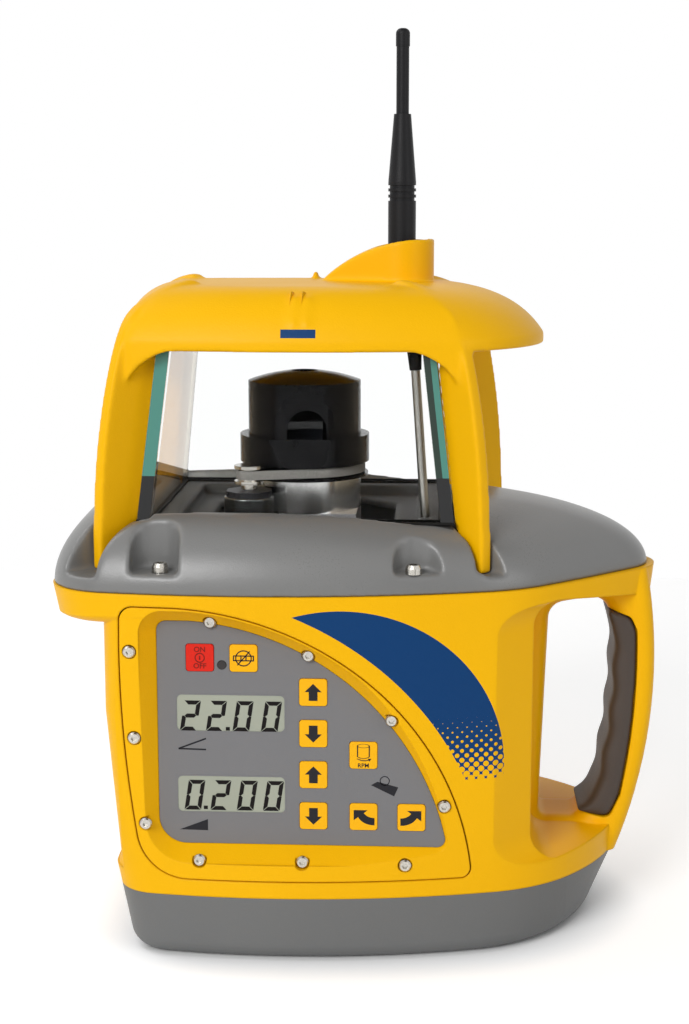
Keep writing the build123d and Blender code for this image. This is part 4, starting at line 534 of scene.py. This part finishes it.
def socket_heads(name, seats, turn, radius, height):
    """Round heads with a bevelled rim and a six-sided socket, on seats that face one way."""
    heads = Pattern(name)
    head_r, head_h = heads.size("Head Radius", radius), heads.size("Head Height", height)
    rim_r = heads.sum("MULTIPLY", head_r, 0.78)
    side_h = heads.sum("MULTIPLY", head_h, 0.62)
    socket_r = heads.sum("MULTIPLY", head_r, 0.50)
    floor_h = heads.sum("MULTIPLY", head_h, 0.35)
    bevel_h = heads.sum("SUBTRACT", head_h, side_h)
    wall_h = heads.sum("SUBTRACT", head_h, floor_h)
    wall_middle = heads.sum("ADD", floor_h, heads.sum("MULTIPLY", wall_h, 0.5))
    barrel = heads.node("GeometryNodeMeshCone", {"fill_type": "NONE"}, {
        "Vertices": 40, "Radius Top": head_r, "Radius Bottom": head_r, "Depth": side_h})
    bevel = heads.node("GeometryNodeMeshCone", {"fill_type": "NONE"}, {
        "Vertices": 40, "Radius Top": rim_r, "Radius Bottom": head_r, "Depth": bevel_h})
    rim = heads.node("GeometryNodeCurvePrimitiveCircle", {}, {"Resolution": 40, "Radius": rim_r})
    hexagon = heads.node("GeometryNodeCurvePrimitiveCircle", {}, {"Resolution": 6, "Radius": socket_r})
    face = heads.node("GeometryNodeJoinGeometry", {}, {0: [rim, hexagon]})
    top = heads.node("GeometryNodeFillCurve", {}, {"Curve": face})
    wall = heads.node("GeometryNodeMeshCylinder", {"fill_type": "NONE"}, {
        "Vertices": 6, "Radius": socket_r, "Depth": wall_h})
    floor = heads.node("GeometryNodeMeshCircle", {"fill_type": "NGON"}, {"Vertices": 6, "Radius": socket_r})
    head = heads.node("GeometryNodeJoinGeometry", {}, {0: [
        barrel, heads.raised(bevel, side_h), heads.raised(top, head_h), heads.raised(floor, floor_h),
        heads.raised(heads.node("GeometryNodeFlipFaces", {}, {"Mesh": wall}), wall_middle)]})
    closed = heads.node("GeometryNodeMergeByDistance", {}, {"Geometry": head, "Distance": radius / 500})
    placed = heads.node("GeometryNodeInstanceOnPoints", {}, {
        "Points": heads.entry.outputs["Seats"], "Instance": closed, "Rotation": turn})
    real = heads.node("GeometryNodeRealizeInstances", {}, {"Geometry": placed})
    finished = heads.node("GeometryNodeSetMaterial", {}, {"Geometry": real, "Material": screw_steel.material})
    heads.tree.links.new(finished, heads.exit.inputs[0])
    return heads.made(name, seats)


def fasten(name, mesh):
    """Puts a made mesh of screws in the place of a frame node."""
    piece = bpy.data.objects.new(name + "_heads", mesh)
    bpy.context.scene.collection.objects.link(piece)
    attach(piece, "base")
    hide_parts(name)


cover_head_r, cover_head_h, right_back = 0.0035, 0.0040, 0.0015
cover_seats = []
for low, high in islands("cover_screws"):
    middle = (low + high) / 2
    back = math.copysign(right_back, middle.y) if middle.x > 0 else 0
    cover_seats.append((middle.x, middle.y - back, high.z - cover_head_h))
fasten("cover_screws", socket_heads("cover_screws", cover_seats, (0, 0, 0), cover_head_r, cover_head_h))

panel_head_r, panel_head_h = 0.0027, 0.0019
panel_seats = [((low.x + high.x) / 2, low.y + panel_head_h, (low.z + high.z) / 2)
               for low, high in islands("panel_screws")]
fasten("panel_screws", socket_heads("panel_screws", panel_seats, (math.pi / 2, 0, 0), panel_head_r,
                                    panel_head_h))


# Glazing: four leaning panes of float glass, set in thin black rubber seals. The faces are clear, and the cut
# ends of the side panes show the glass's own sea green above a black foot of sealant. On the right pane the
# inner half of the cut is darkened to olive as painted shade.
def let_light_in(finish, shown, tint):
    """Shows a glass shader to every ray but a shadow's, which passes straight through with a tint."""
    shadow_ray = finish.node("ShaderNodeLightPath", {}, {}, "Is Shadow Ray")
    clear = finish.node("ShaderNodeBsdfTransparent", {}, {"Color": tint})
    mixed = finish.node("ShaderNodeMixShader", {}, {0: shadow_ray, 1: shown, 2: clear})
    finish.feed(finish.output.inputs["Surface"], mixed)


pane_glass = Finish("pane_glass")
pane_glass.set(Base_Color=colour(216, 202, 178), Roughness=0.0, IOR=1.5, Transmission_Weight=1.0)
pane_low, pane_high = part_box("side_panes")
cut_skin, cut_thick, seal_top_z = 0.0004, 0.0056, 0.2130
pane_z = pane_glass.along("Z")
pane_set_in = (pane_z - pane_low.z) * pane_lean
cut_end = abs(pane_glass.along("Y")) + pane_set_in > pane_high.y - cut_skin
cut_depth = pane_glass.along("X") + pane_set_in - (pane_high.x - cut_thick)
# Painted shade: the half of the right pane's cut end nearer the inside is coloured dark olive.
right_cut_painted_shade = (cut_depth > 0) * (cut_depth < cut_thick / 2)
cut_tone = pane_glass.blend(right_cut_painted_shade, colour(70, 134, 122), colour(26, 48, 38))
cut_tone = pane_glass.blend(pane_z < seal_top_z, cut_tone, colour(14, 15, 16))
pane_cut = pane_glass.node("ShaderNodeBsdfPrincipled", {}, {"Base Color": cut_tone, "Roughness": 0.12})
pane_face = Wire(pane_glass, pane_glass.surface.outputs[0])
let_light_in(pane_glass, pane_glass.node("ShaderNodeMixShader", {}, {0: cut_end, 1: pane_face, 2: pane_cut}),
             (0.965, 0.985, 0.975, 1.0))
dress(pane_glass, "side_panes")

clear_glass = Finish("clear_glass")
clear_glass.set(Base_Color=(0.995, 1.0, 0.998, 1.0), Roughness=0.0, IOR=1.06, Transmission_Weight=1.0)
let_light_in(clear_glass, Wire(clear_glass, clear_glass.surface.outputs[0]), (1.0, 1.0, 1.0, 1.0))
dress(clear_glass, "end_panes")

seal_rubber = moulded("seal_rubber", colour(32, 31, 30), colour(20, 20, 20), 0.7, 2500.0, 0.0002, 0.0, 0.1)
dress(seal_rubber, "deck_gasket", "roof_gasket", "bezel_gasket", "tube_boot")

# Antenna and its lead: a black flexible whip that screws into a brass jack inside the roof's fairing. A drawn
# steel tube takes the lead down past the glass, with a rubber boot at its head.
black_plastic = moulded("black_plastic", colour(30, 30, 32), colour(20, 20, 22), 0.42, 2000.0, 0.0002, 0.0,
                        0.15)
dress(black_plastic, "antenna_whip", "motor_end_cap", "battery_cradle")
tube_steel = metal("tube_steel", colour(172, 170, 164), colour(110, 108, 103), 0.3, 900.0, (1, 1, 0.05))
dress(tube_steel, "cable_tube")

# Gimbal and grade drives: milled aluminium frames that tilt on ground steel pins, pushed by two plungers
# that run out of zinc-plated drives on the chassis.
aluminium = metal("aluminium", colour(206, 206, 208), colour(172, 172, 175), 0.34, 800.0, (1, 6, 1))
dress(aluminium, "chassis", "gimbal_ring", "carrier_plate", "laser_tube", "laser_module", "drive_plate")
bright_steel = metal("bright_steel", colour(232, 230, 226), colour(196, 193, 188), 0.2, 700.0, (1, 1, 8))
dress(bright_steel, "rotor_bearings", "ring_pins", "carrier_pins", "motor_shaft", "tail_pin", "cross_plunger",
      "main_plunger")
zinc = metal("zinc_plate", colour(140, 142, 142), colour(52, 54, 54), 0.24, 420.0, (1, 1, 0.6))
dress(zinc, "motor_can", "grade_actuators")

# Laser barrel and rotor: a turned steel drum holds the bearings, and on it spins a gloss black rotor with a
# coated glass prism behind its window. The lens below it is clear.
# The drum's tone runs in long streaks up and down. These are painted reflection streaks, not tool marks.
drum_steel_painted_streaks = metal("drum_steel_painted_streaks", colour(246, 246, 244), colour(186, 186, 186), 0.2, 260.0, (1, 1, 0.02))
dress(drum_steel_painted_streaks, "bearing_drum")
rotor_black = Finish("rotor_black")
haze = rotor_black.noise(60.0, 3.0)
rotor_black.set(Base_Color=rotor_black.blend(haze, colour(6, 6, 7), colour(12, 12, 13)),
                Roughness=0.14 + haze * 0.1, Specular_IOR_Level=0.1)
dress(rotor_black, "rotor_head", "rotor_lid", "rotor_pulley")
optic_glass = Finish("optic_glass")
optic_glass.set(Base_Color=(0.85, 0.92, 0.95, 1.0), Roughness=0.02, IOR=1.52, Transmission_Weight=1.0)
dress(optic_glass, "collimator_lens")
prism_glass = Finish("prism_glass")
smoke = prism_glass.noise(90.0, 2.0)
prism_glass.set(Base_Color=prism_glass.blend(smoke, colour(9, 10, 12), colour(18, 20, 23)),
                Roughness=0.05 + smoke * 0.04, Specular_IOR_Level=0.35)
dress(prism_glass, "pentaprism")

# Motor drive: a turned steel pulley on the motor's shaft and a grey woven belt that takes its turning to the
# rotor's own pulley.
pulley_steel = metal("pulley_steel", colour(226, 222, 214), colour(96, 93, 88), 0.16, 900.0, (0.03, 0.03, 1))
dress(pulley_steel, "motor_pulley")
belt_weave = Finish("belt_weave")
weave = belt_weave.noise(2600.0, 2.0, (1, 1, 0.4))
belt_weave.set(Base_Color=belt_weave.blend(weave, colour(112, 110, 106), colour(74, 72, 69)),
               Roughness=0.62 + weave * 0.2, Normal=belt_weave.bump(weave, 0.4, 0.0002))
dress(belt_weave, "drive_belt")

# Battery cells: four large cells in a shrunk plastic wrap, lying in a black cradle behind the rear door.
# The wrap has a slight sheen.
cell_wrap = moulded("cell_wrap", colour(60, 60, 66), colour(44, 44, 48), 0.35, 300.0, 0.0001)
dress(cell_wrap, "battery_cells")

# Keypad overlay and board: one printed polyester film with a satin face, stuck to the frame's floor over a
# green circuit board that carries the switches.
film_grey = moulded("film_grey", colour(124, 124, 126), colour(114, 114, 116), 0.46, 2600.0, 0.0001)
dress(film_grey, "keypad_overlay")
board_green = moulded("board_green", colour(38, 84, 54), colour(24, 60, 38), 0.5, 800.0, 0.0001)
dress(board_green, "keypad_board")

# Keys: embossed squares of the same film, printed yellow, and red for the power key. Each springs back from
# its switch on the board.
key_yellow = moulded("key_yellow", colour(250, 186, 22), colour(240, 174, 14), 0.44, 2600.0, 0.0001)
key_red = moulded("key_red", colour(224, 46, 32), colour(206, 36, 24), 0.44, 2600.0, 0.0001)
dress(key_yellow, "manual_key", "main_up_key", "main_down_key", "cross_up_key", "cross_down_key", "speed_key",
      "turn_left_key", "turn_right_key")
dress(key_red, "power_key")

# Displays and status lens: clear windows over grey-green liquid crystal, and a dark red dome over a lamp.
# Both are glued into the film from behind.
window = Finish("display_window")
window_cloud = window.noise(40.0, 2.0)
window.set(Base_Color=window.blend(window_cloud, colour(160, 164, 147), colour(146, 151, 135)),
           Roughness=0.18, Coat_Weight=0.5, Coat_Roughness=0.05)
dress(window, "keypad_displays")
lens_red = Finish("lens_red")
lens_haze = lens_red.noise(400.0, 2.0)
lens_red.set(Base_Color=lens_red.blend(lens_haze, colour(30, 16, 15), colour(18, 10, 10)), Roughness=0.12)
dress(lens_red, "status_lens")

# Symbols on the keypad: dark ink printed on the film and on the keys, drawn in millimetres about each
# key's middle. Lettering is only the plain switch words and the unit of speed.
ink_thick = 0.00006
ink_dark = moulded("ink_dark", colour(44, 44, 48), colour(36, 36, 40), 0.5, 2600.0, 0.00005, 0.0, 0.1)
ink_red = moulded("ink_red", colour(122, 34, 26), colour(104, 26, 20), 0.5, 2600.0, 0.00005)
film_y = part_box("keypad_overlay")[0].y


def stamp(name, groups, centre, face_y, ink, body):
    """Prints groups of closed outlines about a centre (x, z), on a face that looks to the front."""
    shape = bmesh.new()
    for outlines in groups:
        drawing = bpy.data.curves.new(name, "CURVE")
        drawing.dimensions = "2D"
        drawing.fill_mode = "BOTH"
        drawing.extrude = ink_thick / 2
        for outline in outlines:
            line = drawing.splines.new("POLY")
            line.points.add(len(outline) - 1)
            line.use_cyclic_u = True
            for point, (across, up) in zip(line.points, outline):
                point.co = (across / 1000, up / 1000, 0, 1)
        sketch = bpy.data.objects.new(name, drawing)
        flat = bpy.data.meshes.new_from_object(sketch)
        shape.from_mesh(flat)
        bpy.data.objects.remove(sketch)
    mesh = bpy.data.meshes.new(name)
    bmesh.ops.remove_doubles(shape, verts=shape.verts, dist=ink_thick / 20)
    shape.to_mesh(mesh)
    shape.free()
    settle(name, mesh, centre, face_y, ink, body)


def settle(name, mesh, centre, face_y, ink, body):
    """Stands a flat print up on its face and fixes it to a body."""
    upright = Matrix.Rotation(math.pi / 2, 4, "X")
    mesh.transform(Matrix.Translation((centre[0], face_y - ink_thick / 2, centre[1])) @ upright)
    mesh.materials.clear()
    mesh.materials.append(ink.material)
    print_piece = bpy.data.objects.new(name, mesh)
    bpy.context.scene.collection.objects.link(print_piece)
    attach(print_piece, body)


def letters(name, words, height, centre, drop, face_y, ink, body):
    """Prints a plain word, its middle dropped below a centre, in millimetres."""
    text = bpy.data.curves.new(name, "FONT")
    text.body = words
    text.align_x = "CENTER"
    text.align_y = "CENTER"
    text.size = height * 1.4 / 1000
    text.extrude = ink_thick / 2
    text.offset = height * 0.02 / 1000
    written = bpy.data.objects.new(name, text)
    mesh = bpy.data.meshes.new_from_object(written)
    bpy.data.objects.remove(written)
    settle(name, mesh, (centre[0], centre[1] - drop / 1000), face_y, ink, body)


def ring(across, up, radius, width, steps=40):
    """Outer and inner circle of a ring."""
    turns = [2 * math.pi * step / steps for step in range(steps)]
    return [[(across + size * math.cos(turn), up + size * math.sin(turn)) for turn in turns]
            for size in (radius, radius - width)]


def bar(start, end, width):
    """Outline of a straight stroke."""
    run = Vector(end) - Vector(start)
    side = Vector((-run.y, run.x)).normalized() * width / 2
    return [tuple(corner) for corner in (Vector(start) + side, Vector(end) + side, Vector(end) - side,
                                         Vector(start) - side)]


def bow(start, bend, end, steps=10):
    """Points of a smooth bow from start to end, pulled towards bend."""
    shares = [step / steps for step in range(steps + 1)]
    return [tuple(Vector(start) * (1 - share) ** 2 + Vector(bend) * 2 * share * (1 - share)
                  + Vector(end) * share ** 2) for share in shares]


def key_middle(name):
    low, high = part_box(name)
    return ((low.x + high.x) / 2, (low.z + high.z) / 2), low.y


def flipped(outline):
    return [(-across, up) for across, up in reversed(outline)]


def upended(outline):
    return [(across, -up) for across, up in reversed(outline)]


block_arrow = [(0, 3.9), (3.7, 0.2), (1.9, 0.2), (1.9, -3.7), (-1.9, -3.7), (-1.9, 0.2), (-3.7, 0.2)]
turn_arrow = [(-4.3, 3.1), (1.8, 3.1)] + bow((0.1, 1.8), (1.6, -0.3), (4.8, -0.4))
turn_arrow += bow((4.8, -3.7), (-0.2, -3.7), (-2.4, -0.1)) + [(-4.3, -1.5)]
for name, outline in (("main_up_key", block_arrow), ("main_down_key", upended(block_arrow)),
                      ("cross_up_key", block_arrow), ("cross_down_key", upended(block_arrow)),
                      ("turn_left_key", turn_arrow), ("turn_right_key", flipped(turn_arrow))):
    middle, face = key_middle(name)
    stamp(name + "_arrow", [[outline]], middle, face, ink_dark, name)

middle, face = key_middle("power_key")
letters("power_on", "ON", 2.3, middle, -3.6, face, ink_red, "power_key")
letters("power_off", "OFF", 2.3, middle, 3.7, face, ink_red, "power_key")
stamp("power_ring", [ring(0, 0, 2.2, 0.45), [bar((0, -0.9), (0, 0.9), 0.6)]], middle, face, ink_red,
      "power_key")

middle, face = key_middle("manual_key")
stroke = 0.5
vial = [bow((-4.6, 0.9), (-4.6, 1.3), (-4.2, 1.3)) + bow((4.2, 1.3), (4.6, 1.3), (4.6, 0.9))
        + bow((4.6, -0.9), (4.6, -1.3), (4.2, -1.3)) + bow((-4.2, -1.3), (-4.6, -1.3), (-4.6, -0.9)),
        [(-4.1, 0.8), (4.1, 0.8), (4.1, -0.8), (-4.1, -0.8)]]
stamp("manual_symbol", [ring(0, 0, 3.6, stroke), vial, [bar((2.7, 3.1), (-2.7, -3.1), stroke)],
                        [bar((-1.1, 0.8), (-1.1, -0.8), stroke)], [bar((1.1, 0.8), (1.1, -0.8), stroke)]],
      middle, face, ink_dark, "manual_key")

middle, face = key_middle("speed_key")
drum_top, drum_foot, drum_half, drum_tilt = 4.3, -0.6, 2.8, 0.9
rim = [[(drum_half * size * math.cos(turn), drum_top + drum_tilt * size * math.sin(turn))
        for turn in [2 * math.pi * step / 32 for step in range(32)]] for size in (1.0, 0.84)]
side_x = drum_half - stroke / 2
sides = [[bar((side * side_x, drum_top), (side * side_x, drum_foot), stroke)] for side in (-1, 1)]
foot_dip = drum_foot - 2 * drum_tilt
foot = bow((-drum_half, drum_foot), (0, foot_dip), (drum_half, drum_foot))
foot += bow((drum_half - stroke, drum_foot), (0, foot_dip + stroke), (-drum_half + stroke, drum_foot))
turn_line = bow((-2.9, -1.6), (0, -3.2), (2.5, -2.1)) + bow((2.3, -1.8), (0, -2.7), (-2.7, -1.3))
turn_head = [(3.5, -1.4), (1.9, -1.4), (2.6, -2.7)]
stamp("speed_symbol", [rim, *sides, [foot], [turn_line], [turn_head]], middle, face, ink_dark, "speed_key")
letters("speed_unit", "RPM", 1.9, middle, 4.6, face, ink_dark, "speed_key")

# Window borders: the film's own grey, printed round each display so that its corners are rounded. The print
# lies on the film and laps over the window's edge.
border_out, border_in, border_r = 0.5, 0.1, 2.2


def window_border(half_x, half_z):
    """A band round a window, from a little outside it to rounded corners inside it."""
    outer = [(side_x * (half_x + border_out), side_z * (half_z + border_out)) for side_x, side_z in
             ((-1, -1), (1, -1), (1, 1), (-1, 1))]
    inner = []
    for quarter, (side_x, side_z) in enumerate(((1, 1), (-1, 1), (-1, -1), (1, -1))):
        for step in range(9):
            turn = math.pi / 2 * (quarter + step / 8)
            inner.append((side_x * (half_x - border_in - border_r) + border_r * math.cos(turn),
                          side_z * (half_z - border_in - border_r) + border_r * math.sin(turn)))
    return [outer, inner]


for place, (low, high) in enumerate(islands("keypad_displays")):
    span = (high - low) * 500
    middle = ((low.x + high.x) / 2, (low.z + high.z) / 2)
    stamp("window_border_%d" % (place + 1), [window_border(span.x, span.z)], middle, min(film_y, low.y),
          film_grey, "base")

# Film symbols: an open angle under the upper display, a filled wedge under the lower one, and a drum on a
# tilted plane over the turn keys.
display_low, display_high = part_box("keypad_displays")
left_x, angle_z, wedge_z, line = display_low.x + 0.0006, 0.0956, 0.0587, 0.7
stamp("angle_symbol", [[bar((0, 0), (12.1, 4.7), line)], [bar((0, 0), (12.1, -0.3), line)]],
      (left_x, angle_z), film_y, ink_dark, "base")
stamp("wedge_symbol", [[[(0, 0), (12.5, 4.9), (12.5, -0.2)]]], (left_x, wedge_z), film_y, ink_dark, "base")
plane_at = (0.0394, 0.0790)
tilted_plane = [(-5.3, 1.4), (-2.5, 3.0), (6.6, 0.6), (4.8, -3.5)]
stamp("plane_symbol", [[tilted_plane], ring(0.7, 3.4, 2.2, 0.4)], plane_at, film_y, ink_dark, "base")

# Display digits: slanted seven-segment bars of dark liquid crystal on the face of each window. Both rows are
# set out from the same middle.
digit_ink = Finish("digit_ink")
digit_cloud = digit_ink.noise(300.0, 2.0)
digit_ink.set(Base_Color=digit_ink.blend(digit_cloud, colour(18, 15, 15), colour(26, 22, 22)), Roughness=0.4,
              Specular_IOR_Level=0.1)
digit_width, digit_height, digit_stroke, digit_slant, digit_cut = 7.3, 13.6, 1.8, 0.155, 0.2
point_half, point_low, point_high = 0.9, -6.5, -4.9
lit_bars = {"0": "abcdef", "2": "abged", ".": ""}


def segment(name):
    """Outline of one bar of a digit, before the slant."""
    w, h, s, c = digit_width / 2, digit_height / 2, digit_stroke, digit_cut
    across = [(-w + c, h), (w - c, h), (w - c - s, h - s), (-w + c + s, h - s)]
    upright = [(w, h - c), (w, c / 2), (w - s / 2, 0), (w - s, s / 2), (w - s, h - s - c)]
    middle = [(-w + s / 2 + c, 0), (-w + s + c, s / 2), (w - s - c, s / 2), (w - s / 2 - c, 0),
              (w - s - c, -s / 2), (-w + s + c, -s / 2)]
    return {"a": across, "b": upright, "c": upended(upright), "d": upended(across),
            "e": flipped(upended(upright)), "f": flipped(upright), "g": middle}[name]


def readout(name, places, centre, face_y):
    """A row of digits; each place is (character, offset across in millimetres)."""
    groups = []
    for mark, across in places:
        if mark == ".":
            groups.append([[(across - point_half, point_low), (across + point_half, point_low),
                            (across + point_half, point_high), (across - point_half, point_high)]])
        for bar_name in lit_bars[mark]:
            groups.append([[(across + x + digit_slant * y, y) for x, y in segment(bar_name)]])
    stamp(name, groups, centre, face_y, digit_ink, "base")


display_x, upper_z, lower_z = (display_low.x + display_high.x) / 2, 0.1105, 0.0746
readout("upper_reading", [("2", -17.6), ("2", -6.2), (".", -1.3), ("0", 5.4), ("0", 17.8)],
        (display_x, upper_z), display_low.y)
readout("lower_reading", [("0", -16.1), (".", -11.4), ("2", -4.7), ("0", 6.9), ("0", 18.4)],
        (display_x, lower_z), display_low.y)

# Studio: a white table in front of a white room, under soft lamps, and the camera where the photograph was
# taken from. The table's white is lifted for what is seen, less so close to the base, where its shadow lies.
table_half, table_lift, shade_reach = 0.75, 0.42, 0.035
table_mesh = bpy.data.meshes.new("table")
table_mesh.from_pydata([(-table_half, -table_half, 0), (table_half, -table_half, 0),
                        (table_half, table_half, 0), (-table_half, table_half, 0)], [], [(0, 1, 2, 3)])
table = bpy.data.objects.new("table", table_mesh)
bpy.context.scene.collection.objects.link(table)
paper = Finish("table_paper")
rays = [paper.node("ShaderNodeLightPath", {}, {}, kind)
        for kind in ("Is Camera Ray", "Is Glossy Ray", "Is Transmission Ray")]
# Painted shadow: ambient occlusion cuts the lift close to the base, which paints a contact shadow on the
# table there.
painted_contact_shadow = paper.node("ShaderNodeAmbientOcclusion", {"samples": 16}, {"Distance": shade_reach}, "AO")
open_share = paper.node("ShaderNodeMapRange", {}, {"Value": painted_contact_shadow, "From Min": 0.3, "From Max": 0.85})
lift = (rays[0] + rays[1] + rays[2]) * open_share * table_lift
paper.set(Base_Color=(0.9, 0.9, 0.9, 1.0), Roughness=0.9,
          Emission_Color=paper.blend(lift, (0, 0, 0, 1), (1, 1, 1, 1)), Emission_Strength=1.0)
table_mesh.materials.append(paper.material)

room_light, room_white = 0.4, 1.0
world = bpy.data.worlds.new("studio")
bpy.context.scene.world = world
world.use_nodes = True
sky = world.node_tree
sky.nodes.clear()
sky_out = sky.nodes.new("ShaderNodeOutputWorld")
sky_light = sky.nodes.new("ShaderNodeBackground")
sky_light.inputs["Color"].default_value = (1, 1, 1, 1)
sky_rays = sky.nodes.new("ShaderNodeLightPath")
seen = sky_rays.outputs["Is Camera Ray"]
for kind in ("Is Glossy Ray", "Is Transmission Ray"):
    either = sky.nodes.new("ShaderNodeMath")
    either.operation = "MAXIMUM"
    sky.links.new(seen, either.inputs[0])
    sky.links.new(sky_rays.outputs[kind], either.inputs[1])
    seen = either.outputs[0]
sky_level = sky.nodes.new("ShaderNodeMapRange")
sky_level.inputs["To Min"].default_value = room_light
sky_level.inputs["To Max"].default_value = room_white
sky.links.new(seen, sky_level.inputs["Value"])
sky.links.new(sky_level.outputs[0], sky_light.inputs["Strength"])
sky.links.new(sky_light.outputs[0], sky_out.inputs["Surface"])


def lamp(name, place, aim, size, power):
    """A soft square lamp that faces a point."""
    light = bpy.data.lights.new(name, "AREA")
    light.size = size
    light.energy = power
    stand = bpy.data.objects.new(name, light)
    stand.location = place
    stand.rotation_euler = (Vector(aim) - Vector(place)).to_track_quat("-Z", "Y").to_euler()
    bpy.context.scene.collection.objects.link(stand)


body_middle = (0.02, 0.0, 0.17)
lamp("key", (-0.8, -1.75, 1.15), body_middle, 0.9, 27)
lamp("fill", (1.5, -1.1, 0.7), body_middle, 0.8, 4)
lamp("back", (-1.25, 0.35, 1.65), body_middle, 0.9, 7)


def flag(name, place, aim, width, height):
    """A black card that only shows in reflections, which gives bright metal its contrast."""
    mesh = bpy.data.meshes.new(name)
    mesh.from_pydata([(-width / 2, -height / 2, 0), (width / 2, -height / 2, 0), (width / 2, height / 2, 0),
                      (-width / 2, height / 2, 0)], [], [(0, 1, 2, 3)])
    turn = (Vector(aim) - Vector(place)).to_track_quat("-Z", "Y").to_matrix().to_4x4()
    mesh.transform(Matrix.Translation(place) @ turn)
    mesh.materials.append(card_black.material)
    card = bpy.data.objects.new(name, mesh)
    bpy.context.scene.collection.objects.link(card)
    card.visible_camera = card.visible_diffuse = card.visible_transmission = card.visible_shadow = False


card_black = Finish("card_black")
card_black.set(Base_Color=(0.01, 0.01, 0.01, 1.0), Roughness=1.0)
flag("ceiling_flag", (0.3, 0.3, 2.6), body_middle, 2.6, 2.0)
flag("left_flag", (-1.6, -1.3, 0.5), body_middle, 0.5, 1.6)
flag("right_flag", (0.9, -1.9, 0.4), body_middle, 0.35, 1.6)

focal_px, image_height_px, sensor = 1827.8, 1024, 36.0
view = bpy.data.cameras.new("view")
view.sensor_fit = "VERTICAL"
view.sensor_height = sensor
view.lens = focal_px / image_height_px * sensor
camera = bpy.data.objects.new("view", view)
camera.location = (0.0635, -0.8404, 0.3345)
camera.rotation_euler = (math.radians(90 - 9.90), 0, math.radians(3.07))
bpy.context.scene.collection.objects.link(camera)
bpy.context.scene.camera = camera
bpy.context.scene.view_settings.view_transform = "Standard"
